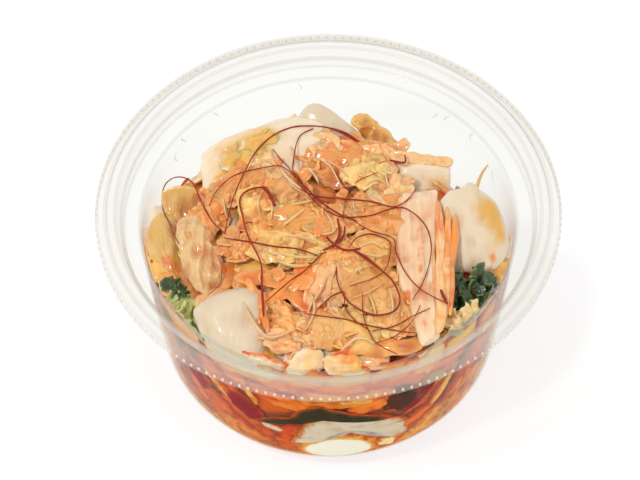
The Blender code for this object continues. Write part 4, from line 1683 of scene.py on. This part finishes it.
class WallPieces:
    """What shows through the side of the bowl, all the way round."""

    # outlines along the wall from the front, in mm at its mean radius, and up it
    LEAF_STRIP = ((-20.2, 23.8), (-13.4, 27.4), (-10.9, 28.8), (-9.5, 32), (-7.2, 34.5), (-2.5, 36.8),
                  (0.9, 34.2), (4.4, 33), (6.7, 31.4), (11.5, 29.6), (16.5, 27.3), (16.6, 25),
                  (11.5, 26.6), (6.8, 27.9), (4.4, 29.2), (0.9, 30.8), (-2.5, 31.6), (-4.9, 31.5),
                  (-8.5, 28.1), (-11, 24.8), (-13.4, 24.6), (-20.6, 21.6))
    WHITE_STEM = ((-11.5, 13.7), (-10.7, 17), (-7.3, 26), (-3.8, 31), (0, 31), (3.8, 29.5), (12.8, 26.8),
                  (19.2, 24.4), (23.5, 20), (23.3, 13.7), (20, 12.4), (15.7, 17.7), (10, 21.5), (2.7, 22),
                  (-1.5, 19.6), (-5.2, 15.5))
    WINDOW = ((-8.4, 12.1), (-5.2, 15.6), (0.9, 18.8), (6.9, 17.8), (11.4, 14.5), (13.4, 10.5), (10.5, 7),
              (2.6, 5), (-4.4, 6), (-7.9, 9))
    WINDOW_EDGE = tuple((x * WINDOW_SCALE - 0.3, z * WINDOW_SCALE - 1.2) for x, z in WINDOW)
    # kind, then length, width and squareness or an outline, then bearing, height and inset,
    # then turn, oil, second colour and tint, then other sizes; from the left round to the right
    FRONT = (
        (Kind.CRIMSON, (11, 22, 2.2), (-59, 24, 0), (24, 0, 0.5, 0.6)),
        (Kind.CRIMSON, (9, 14, 2.2), (-48, 29, -0.1), (38, 0.5, 0, 0.5)),
        (Kind.BLUSH, (13, 2.4, 2.2), (-38, 31.3, -0.04), (-42, 0.5, 0, 0.5)),
        (Kind.ORANGE, (20, 6, 2.2), (-36, 34.5, 0), (-46, 0.4, 0, 0.5)),
        (Kind.CRIMSON, (15, 9, 2.4), (-28.5, 27, -0.15), (-46, 0.6, 0, 0.5)),
        (Kind.STEM_YELLOW, (14, 2.4, 2.2), (-26, 36, -0.04), (-70, 0.5, 0, 0.5)),
        (Kind.ORANGE, (30, 11, 2.4), (-41, 18, 0.1), (-36, 0.15, 0.6, 0.4)),
        (Kind.TAN, (22, 9, 2.4), (-29, 11, 0.1), (-24, 0.1, 0.6, 0.5)),
        (Kind.STEM, (7, 2.8, 2.4), (-19, 20.6, -0.2), (-14, 0.4, 0, 0.2), {"crumple": (0.1, 3.2, 1)}),
        (Kind.CARROT, (19, 7, 2.2), (-14.5, 36, 0), (-18, 0.35, 0, 0.5)),
        (Kind.BLUSH, (16, 3.4, 2.2), (-1, 41, -0.02), (-6, 0.3, 0, 0.5)),
        (Kind.STEM_YELLOW, (14, 3, 2.2), (8, 37.5, -0.02), (-4, 0.4, 0, 0.5)),
        (Kind.CARROT, (14, 6, 2.2), (13, 34, 0), (14, 0.3, 0, 0.6)),
        (Kind.BLUSH, (12, 3.4, 2.2), (15, 40, 0.05), (-8, 0.3, 0, 0.5)),
        (Kind.DARK, LEAF_STRIP, (0, 0, -0.3), (0, 0.4, 0.35, 0.8),
         {"crumple": (0.1, 2.6, 1), "thickness": 0.8, "frill": 0.05}),
        (Kind.STEM, WHITE_STEM, (0, 0, -0.22), (0, -0.1, 0, 0.25),
         {"crumple": (0.1, 3.2, 1), "thickness": 1, "frill": 0.02}),
        (Kind.ORANGE, (95, 44, 4), (0, 28, 1.2), (0, 0.35, 0.5, 0.4), {"crumple": (0.6, 4, 1)}),
        (Kind.ORANGE, (13, 6, 2.2), (-14, 19.5, 0), (40, 0.6, 0, 0.5)),
        (Kind.ORANGE, (58, 16, 3), (3, 12, 0.3), (0, 0.1, 0.5, 0.5)),
        (Kind.LEAF, WINDOW_EDGE, (0, 0, -0.1), (0, 0.3, 0, 0.9), {"crumple": (0.1, 3.2, 1)}),
        (Kind.STEM_YELLOW, (7, 5, 2.2), (19, 11.5, -0.16), (-30, -0.1, 0, 1)),
        (Kind.DARK, (10, 13, 2.4), (23, 33, -0.1), (16, 0.75, 0.4, 0.9)),
        (Kind.CRIMSON, (14, 5, 2.4), (29.5, 31, -0.05), (48, 0.8, 0, 0.3)),
        (Kind.PALE_GREEN, (9, 5, 2.4), (35, 36, 0), (-20, 0.5, 0, 0.3)),
        (Kind.STEM_YELLOW, (17, 3, 2.4), (38.5, 28, -0.04), (62, 0.45, 0, 0.5)),
        (Kind.ORANGE, (28, 6, 2.4), (48.5, 27, 0), (60, 0.9, 0, 0.3)),
        (Kind.CRIMSON, (9, 16, 2.2), (59, 28, -0.05), (-30, 0.1, 1, 0.7)),
        (Kind.TAN, (19, 6, 2.4), (43, 18, -0.05), (50, 0.4, 0.5, 0.2)),
        (Kind.TAN, (22, 8, 2.4), (33, 13, -0.05), (34, 0.1, 0.6, 0.5)),
        (Kind.ORANGE, (12, 5, 2.4), (29.5, 20, -0.1), (30, 0.3, 0, 0.5)),
        (Kind.DRESSED, (16, 8, 2.4), (2, 42, 0.9), (0, 0.3, 0, 0.5)),
        (Kind.DRESSED, (13, 8, 2.4), (-17, 44, 0.9), (0, 0.4, 0, 0.5)),
        (Kind.STEM, (25, 13, 3), (-28, 48.5, 0.5), (6, -0.2, 0, 1)),
        (Kind.TAN, (13, 9, 3), (-8, 48.5, 0.5), (-6, 0.3, 0, 0.9)),
        (Kind.LEAF, (13, 8, 3), (6, 48.5, 0.6), (8, 0.3, 0, 0.8)),
        (Kind.TAN, (14, 9, 3), (20, 48, 0.5), (-4, 0.3, 0, 0.9)),
        (Kind.LEAF, (27, 8, 2.4), (2, 38.2, 0.04), (-3, 0.5, 0, 0.5)),
        (Kind.CRIMSON, (16, 18, 2.4), (-75, 38, -0.1), (8, 0.3, 0, 0.3)),
        (Kind.CRIMSON, (14, 14, 2.4), (73, 40, -0.1), (-8, 0.6, 0.9, 0.4)),
        (Kind.STEM_RIBBED, (10, 12, 3), (32, 47, 0.5), (-6, 0, 0, 0.9)),
        (Kind.LEAF, (14, 9, 3), (45, 46, 0.5), (-8, 0, 0, 0.8)),
        (Kind.BLUSH, (13, 10, 3), (-50, 46, 0.5), (8, 0, 0, 0.5)),
    )
    OILY = srgb("ce5416")
    AROUND = 230
    FRONT_HALF = 52
    SEED = 77
    # steps of an even spread over a square, along the wall and up it
    SPREAD = (0.7548777, 0.5698403)

    def front(self) -> dict[Kind, list[WallCut]]:
        """The pieces around the front.

        Returns:
            The pieces of each kind.
        """
        made: dict[Kind, list[WallCut]] = {}
        for kind, shape, (bearing, height, inset), (turn, oil, second, tint), *others in self.FRONT:
            in_place = isinstance(shape[0], tuple)
            outline = shape if in_place else oval(*shape)
            sizes = {"thickness": 1.6, "fullness": 5, "crumple": (0.25, 3.2, 1), "frill": 0.24}
            for other in others:
                sizes.update(other)
            cut = Cut(outline, (0, 0, 0), turn=turn, oil=oil, second=second, tint=tint, rings=7, steps=64,
                      seed=int(height * 7 + bearing * 3) % 90 + 1, in_place=in_place, **sizes)
            made.setdefault(kind, []).append(WallCut(cut, bearing, height, inset))
        return made

    def around(self, made: dict[Kind, list[WallCut]]) -> None:
        """Adds pieces round the rest of the wall and behind the front ones.

        Args:
            made: the pieces of each kind, which the new ones join.
        """
        rng = np.random.default_rng(self.SEED)
        kinds = (Kind.STEM, Kind.BLUSH, Kind.ORANGE, Kind.TAN, Kind.CARROT, Kind.CRIMSON, Kind.DARK,
                 Kind.GREEN, Kind.STEM_YELLOW, Kind.DRESSED)
        shares = (0.2, 0.13, 0.15, 0.13, 0.11, 0.06, 0.05, 0.04, 0.07, 0.06)
        for number in range(self.AROUND):
            bearing = 360 * (number * self.SPREAD[0] % 1) - 180
            height = 4 + 44 * (number * self.SPREAD[1] % 1)
            angle = math.radians(bearing)
            reach = MEAN_RADIUS - 1
            top = float(ground(np.array([reach * math.sin(angle)]),
                               np.array([-reach * math.cos(angle)]))[0])
            if height > top - 3:
                continue
            kind = kinds[rng.choice(len(kinds), p=shares)]
            length = rng.uniform(9, 21)
            width = 3.6 if kind is Kind.CARROT else length * rng.uniform(0.35, 0.7)
            cut = Cut(
                oval(length, width, rng.uniform(2.2, 3.4)), (0, 0, 0), thickness=rng.uniform(1.8, 3),
                fullness=5, crumple=(0.5, 4, 1), frill=0.2, turn=rng.uniform(-50, 50),
                oil=rng.uniform(0, 0.6), tint=rng.uniform(0, 1), seed=400 + number, rings=5, steps=28)
            inset = 1.7 if abs(bearing) < self.FRONT_HALF else 0.4
            made.setdefault(kind, []).append(WallCut(cut, bearing, height, inset + rng.uniform(0, 0.9)))

    def build(self) -> None:
        """Makes one object for each kind, and a near-white piece at the front of the base that paints the
        light showing through the gap there.
        """
        made = self.front()
        self.around(made)
        for kind, cuts in made.items():
            finish = replace(
                kind.value, name="pressed_" + kind.value.name, wet=0, pale=self.OILY, relief=0.15,
                rim=1, grain=1.4, streak=0.0 if kind is Kind.STEM else 0.8, streak_length=6)
            seat_cuts("wall_" + kind.name.lower(), finish, cuts, SLOTS.get(kind, LEAF_SLOT))
        # Painted light: a near-white piece fills the gap where light shows through the base.
        end = Cut(self.WINDOW, (0, 0, 0), thickness=1, fullness=6, rings=7, steps=64, in_place=True)
        seat_cuts("bright_stem_end", GAP_LIGHT, [WallCut(end, 0, 0, -0.18)], "stem")


def drape(route: Sequence[Point2], width: float, heap: BVHTree) -> tuple[Point3, ...]:
    """Lays a route over the heap so that it rests on the high spots and spans the hollows.

    Args:
        route: the route in plan, as seen at the DRAPE_LEVEL.
        width: how thick what lies there is, in mm.
        heap: the food's surfaces, in metres.

    Returns:
        The points of the route, in mm.
    """
    plan = smooth_loop(route, 12 * len(route), closed=False)
    levels = np.full(len(plan), DRAPE_LEVEL)
    for _ in range(2):
        seen = plan[:, 1] - (levels - DRAPE_LEVEL) / math.tan(SERVING_ANGLE)
        hits = [heap.ray_cast(Vector((x * MM, y * MM, 0.1)), Vector((0, 0, -1)))[0]
                for x, y in zip(plan[:, 0], seen)]
        rest = np.array([hit.z / MM if hit else 50.0 for hit in hits]) + width / 2 + 0.1
        wide = np.array([rest[max(0, i - 6):i + 7].max() for i in range(len(rest))])
        smooth = np.convolve(np.pad(wide, 5, "edge"), np.ones(11) / 11, "valid")
        levels = np.clip(np.maximum(smooth, rest), 50, 63)
    seen = plan[:, 1] - (levels - DRAPE_LEVEL) / math.tan(SERVING_ANGLE)
    return tuple(tuple(point) for point in np.column_stack([plan[:, 0], seen, levels])[::3])


class LeafFolds:
    """Pale folded edges of leaf over the crinkled middle, paler than their leaf partly as a painted
    highlight.
    """

    # finish and colour, then the width in mm and the route in plan of each fold
    FOLDS = (
        (Kind.STEM_RIBBED, srgb("fcd8aa"), (
            (1.1, (-6, 14), (-4, 11.5), (-2.5, 8)), (1.0, (-4, 18.5), (0.5, 14.5), (2.5, 10), (4, 6)),
            (1.6, (-13.5, 14), (-10.5, 9), (-6, 5)), (1.1, (-0.5, -2.5), (1, -6), (2, -10)),
            (1.2, (-18, -14.5), (-15.5, -16.5), (-13.5, -17)), (1.2, (16, 12.5), (16.5, 8.5), (17.5, 6)),
            (1.2, (3, -49.5), (7, -45.5), (11, -46)), (1.2, (16.5, -29), (17, -34.5), (16.5, -39.5)))),
        (Kind.BLUSH, srgb("ffca94"), (
            (0.9, (-0.5, 16.5), (3, 14), (6, 10)), (1.4, (-10.5, 22), (-9.5, 18), (-9.5, 14)),
            (1.0, (-12.5, 10), (-8, 5.5), (-4, 3)), (1.2, (-11.5, -10.5), (-7.5, -11), (-4, -13)),
            (1.0, (7.5, 4), (7, 0), (8, -2.5)), (1.2, (-29, 2), (-28.5, -2.5), (-27.5, -5)),
            (1.6, (-0.5, -25), (-2.5, -30), (-5, -34.5), (-6, -39.5)),
            (1.3, (2, -22), (0.5, -26.5), (0.5, -30.5)), (1.1, (-0.5, -33), (1, -37), (3, -38.5)),
            (2.0, (-23, -33), (-19.5, -41), (-15.5, -45), (-8.5, -42)),
            (1.0, (6, -32), (10, -30.5), (15.5, -26.5)),
            (1.8, (-5, -30), (-4, -34), (-4.5, -38.5), (-6.5, -43)))),
        (Kind.LEAF, srgb("fad892"), (
            (1.4, (-18.5, 5), (-19.5, 0.5), (-18.5, -3.5)), (1.3, (-16, 4), (-15.5, -0.5), (-16, -5)),
            (1.1, (-10.5, 0.5), (-6, 1.5), (-4, 2)), (1.6, (-12.5, -7), (-9.5, -4), (-6, -0.5)),
            (1.2, (-1.5, -10), (1, -9.5), (3, -7)), (1.4, (-13.5, -16.5), (-8, -18), (-2.5, -18)),
            (1.4, (-14.5, -19), (-9.5, -21), (-4, -20.5)), (1.6, (10.5, 7.5), (14, 9.5), (16.5, 7.5)),
            (1.2, (8.5, -14.5), (12, -13), (15.5, -15.5)), (1.3, (9.5, -17), (13.5, -18), (15.5, -17)),
            (1.2, (10.5, -30), (12, -35), (12.5, -39.5)))))

    def build(self, heap: BVHTree) -> None:
        """Sweeps the folds, half sunk in the heap.

        Args:
            heap: the food's surfaces.
        """
        for kind, colour, folds in self.FOLDS:
            strands = [Strand(drape(route, 0.0, heap), width=width, taper=0.25) for width, *route in folds]
            # each fold's paler colour is partly the leaf's own rib and partly a painted highlight
            finish = replace(kind.value, name="fold_" + kind.value.name, flesh=colour, streak=0.0)
            piece = strand_piece("leaf_folds_" + kind.name.lower(), strands, finish, 8, 0.5, spacing=0.7)
            seat_piece(piece, LEAF_SLOT)


class ChiliThreads:
    """The fine chili threads that lie in loops over the top."""

    # width in mm, and route in plan
    ROUTES = (
        (0.5, (-41, -13), (-44, -6), (-46.5, 0.5), (-46.5, 8), (-42.5, 11), (-38, 9), (-35, 1.5), (-32, -5),
         (-28, -10)),
        (0.55, (-28.5, -9), (-26, 4.5), (-21, 18.5), (-16.5, 25), (-11.5, 28.5), (-6.5, 29.5), (1, 28.5),
         (9, 23)),
        (0.8, (1, 28.7), (5, 26.8), (9.2, 23.2)),
        (0.5, (-4, 28.5), (-8, 25.5), (-9.5, 18), (-9.5, 12), (-5.5, 6), (-2.5, 2)),
        (0.42, (-33, 0.5), (-31, 6), (-26, 11.5), (-18.5, 14), (-13, 14.5), (-8.5, 10)),
        (0.42, (-15.5, 21), (-13.5, 17.5), (-11, 14), (-9, 10)),
        (0.65, (-15, 0.5), (-17.5, 6.5), (-22, 6), (-24.5, 2.5), (-23.5, -4), (-22, -10.5), (-18.5, -19.5),
         (-18, -27), (-17.5, -38.5)),
        (1.5, (-14.6, 0), (-16.5, 5), (-18.4, 7.2)),
        (1.0, (-18.2, -24), (-17.8, -31), (-17.4, -38)),
        (0.6, (-28.5, -11), (-21, -12.5), (-15, -14), (-8.5, -15), (-2.5, -17.5)),
        (0.5, (-17, -33), (-10.5, -26), (-6.5, -22.5), (-2.5, -17.5), (-0.5, -16)),
        (0.35, (-28.5, -16.5), (-29, -23), (-29.5, -27), (-33, -31)),
        (0.55, (-8.5, 9.5), (-7, 6), (-3, 3.5), (4.5, 2.5), (12, 1.5), (18, -0.5), (22, 2), (24.5, 6)),
        (0.5, (-8, 9), (-4, 2), (0, -2), (4.5, -4), (11.5, -3.5), (18, -1), (22, -1.5), (26.5, -7),
         (28, -15), (26, -25), (22, -33.5)),
        (0.6, (-9, 12), (-6, 6.5), (-1, 0.5), (4, -3.5), (8, -5.5)),
        (0.42, (4.5, -3), (11, -8.5), (17.5, -11.5), (18.5, -17), (21, -24), (25, -29.5), (31.5, -34)),
        (1.2, (30, -29.5), (30.8, -32), (31.6, -34.3)),
        (0.45, (5.5, -15), (7.5, -11.5), (11.5, -10), (16, -12), (17, -15), (15.5, -22), (11.5, -25.5),
         (5, -28)),
        (0.65, (6.5, -15.5), (12.5, -21), (17, -26), (19, -32.5), (17, -36.5), (11.5, -37.5), (5.5, -33.5),
         (2.5, -27), (2, -20.5)),
        (1.0, (6.5, -15.5), (10, -18), (14, -22.5)),
        (0.5, (-6.5, -37), (4.5, -39), (8.5, -40.5), (16, -42.5), (24, -44)),
        (0.4, (27, -35.5), (22.5, -38), (17, -41.5), (11, -43)),
        (0.42, (9, -30.5), (9, -36.5), (10, -41.5), (12.5, -47), (18.5, -51)),
        (0.5, (-2.5, -35), (1, -31), (4, -29.5)),
        (0.45, (4, -29.5), (4.5, -35.5), (7, -39.5), (11, -43)),
        (0.8, (17.5, 16.5), (21.5, 15.5), (21.7, 18.5)),
        (0.35, (14, 12), (8.5, 9), (6, 5.5), (4.5, -0.5), (4, -5.5)),
        (0.9, (2.5, -4.5), (3, -10), (1, -15)),
        (0.8, (-1, -10), (1, -13), (4.5, -15.5), (9, -15)),
        (0.8, (-1.5, -15.5), (1, -14), (4, -11), (4.5, -7)),
        (0.35, (12, -47), (17, -45), (22, -40), (24.5, -34)),
    )

    def build(self, heap: BVHTree) -> None:
        """Sweeps the threads.

        Args:
            heap: the food's surfaces.
        """
        strands = [Strand(drape(route, width, heap), width=width, taper=0.7)
                   for width, *route in self.ROUTES]
        piece = strand_piece("chili_threads", strands, Kind.THREAD.value, 7, 0.75, spacing=0.8)
        seat_piece(piece, LEAF_SLOT)


def food_surface() -> BVHTree:
    """The surfaces of the food that has been built so far.

    Returns:
        A tree for casting rays at them.
    """
    points, faces = [], []
    for piece in bpy.context.scene.collection.objects:
        if piece.type == "MESH" and piece.name.startswith(FOOD):
            start = len(points)
            points += [vertex.co.copy() for vertex in piece.data.vertices]
            faces += [[start + v for v in polygon.vertices] for polygon in piece.data.polygons]
    return BVHTree.FromPolygons(points, faces)


@dataclass
class Condensation:
    """Small drops and short runs of water inside the wall above the heap."""

    density: float = 5200.0
    size: float = 0.42
    runs: tuple = ((-122.5, 49.6), (-127, 53.2), (-141, 53.4), (-170.5, 53), (143, 51.4), (138, 53),
                   (126.5, 53.2), (113, 48), (-100, 42))

    def tree(self, graph: Graph, inputs: bpy.types.Node) -> Wire:
        """Scatters flattened drops over a band of the wall.

        Args:
            graph: the tree.
            inputs: its input node, with the band, the density and the size.

        Returns:
            The drops.
        """
        placed = graph.node("GeometryNodeDistributePointsOnFaces", {}, {
            "Mesh": inputs.outputs[0], "Density": Wire(graph, inputs.outputs["Density"]), "Seed": 4})
        drop = graph.wire("GeometryNodeMeshUVSphere", {}, {"Segments": 8, "Rings": 6, "Radius": MM})
        flat = graph.wire("GeometryNodeTransform", {}, {"Geometry": drop, "Scale": (1.0, 1.0, 0.35)})
        size = Wire(graph, inputs.outputs["Size"])
        spread = graph.wire("FunctionNodeRandomValue", {"data_type": "FLOAT"}, {2: 0.15, 3: 1.0, "Seed": 9},
                            output=1)
        scale = graph.wire("ShaderNodeCombineXYZ", {}, {0: spread**3 * size, 1: spread**3 * size,
                                                        2: spread**3 * size})
        sockets = {"Points": placed.outputs[0], "Instance": flat, "Rotation": placed.outputs["Rotation"],
                   "Scale": scale}
        return graph.wire("GeometryNodeInstanceOnPoints", {}, sockets)

    def build(self) -> None:
        """Makes the drops and the runs."""
        heights = np.linspace(40, 54.5, 12)
        angles = np.radians(np.linspace(70, 290, 90))
        radius = WALL.inside(heights) - 0.02
        grid = np.stack([
            np.outer(radius, np.sin(angles)), -np.outer(radius, np.cos(angles)),
            np.repeat(heights[:, None], len(angles), axis=1)], axis=-1).reshape(-1, 3)
        count = len(angles)
        faces = [(i * count + j + 1, i * count + j, (i + 1) * count + j, (i + 1) * count + j + 1)
                 for i in range(len(heights) - 1) for j in range(count - 1)]
        source = make_piece("wall_drops", [Body(grid, faces)], WATER)
        recipe = Recipe("drops", self.tree, {"Density": self.density, "Size": self.size})
        seat_piece(recipe.run(source, WATER), "clear_plastic")
        strands = []
        for number, (bearing, height) in enumerate(self.runs):
            route = []
            for step in range(5):
                level = height + 1.4 - step * 0.9
                angle = math.radians(bearing + 1.1 * math.sin(step * 0.8 + number))
                reach = float(WALL.inside(level)) - 0.1
                route.append((reach * math.sin(angle), -reach * math.cos(angle), level))
            strands.append(Strand(tuple(route), width=0.5, taper=0.3))
        seat_piece(strand_piece("water_runs", strands, WATER, 8, 0.5, spacing=0.5), "clear_plastic")


@dataclass
class Stalk:
    """The small pale stalk that stands up at the back right."""

    route: tuple[Point3, ...] = ((40, 4, 54), (41.5, 8, 56.5), (43, 11.5, 59), (45, 14, 60.5))

    def build(self) -> None:
        """Makes the stalk."""
        strand = Strand(self.route, width=1.9, taper=0.35, swell_at=0.1)
        seat_piece(strand_piece("small_stalk", [strand], Kind.LEAF.value, 8, 0.6, spacing=0.6), LEAF_SLOT)


@dataclass
class Studio:
    """The pale floor, the soft light and the camera."""

    distance: float = 600.0
    lens: float = 122.06
    aim_side: float = -2.35
    aim_down: float = -10.65
    roll: float = -0.8

    def floor(self) -> None:
        """A wide pale floor under the bowl."""
        mesh = bpy.data.meshes.new("floor")
        side = 3.0
        mesh.from_pydata([(-side, -side, 0), (side, -side, 0), (side, side, 0), (-side, side, 0)], [],
                         [(0, 1, 2, 3)])
        mesh.materials.append(Paint("floor_paint").material())
        floor = bpy.data.objects.new("floor", mesh)
        bpy.context.scene.collection.objects.link(floor)

    def lamp(self, name: str, place: Point3, size: float, power: float) -> None:
        """A soft square lamp that faces the bowl.

        Args:
            name: the lamp's name.
            place: where it is, in metres.
            size: its side, in metres.
            power: in watts.
        """
        light = bpy.data.lights.new(name, "AREA")
        light.size = size
        light.energy = power
        lamp = bpy.data.objects.new(name, light)
        lamp.location = place
        lamp.rotation_euler = (Vector((0, 0, 0.05)) - Vector(place)).to_track_quat("-Z", "Y").to_euler()
        bpy.context.scene.collection.objects.link(lamp)

    def camera(self) -> None:
        """The camera at the serving angle."""
        up = Vector((0, math.sin(SERVING_ANGLE), math.cos(SERVING_ANGLE)))
        centre = Vector((0, 0, HEIGHT))
        place = centre + Vector((0, -math.cos(SERVING_ANGLE), math.sin(SERVING_ANGLE))) * self.distance
        target = centre + Vector((self.aim_side, 0, 0)) + up * self.aim_down
        lens = bpy.data.cameras.new("camera")
        lens.lens = self.lens
        lens.sensor_width = 36.0
        camera = bpy.data.objects.new("camera", lens)
        turn = (target - place).to_track_quat("-Z", "Y")
        camera.rotation_mode = "QUATERNION"
        camera.rotation_quaternion = turn @ Euler((0, 0, math.radians(self.roll))).to_quaternion()
        camera.location = place * MM
        bpy.context.scene.collection.objects.link(camera)
        bpy.context.scene.camera = camera

    def build(self) -> None:
        """Sets up the whole studio."""
        self.floor()
        self.camera()
        self.lamp("key", (-0.4, -0.3, 0.85), 0.1, 3.6)
        self.lamp("side", (0.75, -0.35, 0.55), 0.4, 1.0)
        world = bpy.data.worlds.new("studio")
        world.use_nodes = True
        world.node_tree.nodes["Background"].inputs["Color"].default_value = (1.0, 1.0, 1.0, 1.0)
        world.node_tree.nodes["Background"].inputs["Strength"].default_value = 0.72
        scene = bpy.context.scene
        scene.world = world
        scene.view_settings.view_transform = "Standard"
        scene.cycles.transparent_max_bounces = 48
        scene.cycles.max_bounces = 10


def main() -> None:
    """Builds every sub-assembly in order."""
    logging.basicConfig(level=logging.INFO, format="%(message)s")
    for part in (DeliBowl(), OilPool(), HeapCore(), LargePieces(), DressedMass(), Fillers(), Greens(),
                 Carrots(), WallPieces(), Condensation(), Stalk(), Studio()):
        part.build()
    LeafFolds().build(food_surface())
    ChiliThreads().build(food_surface())


if __name__ == "__main__":
    main()
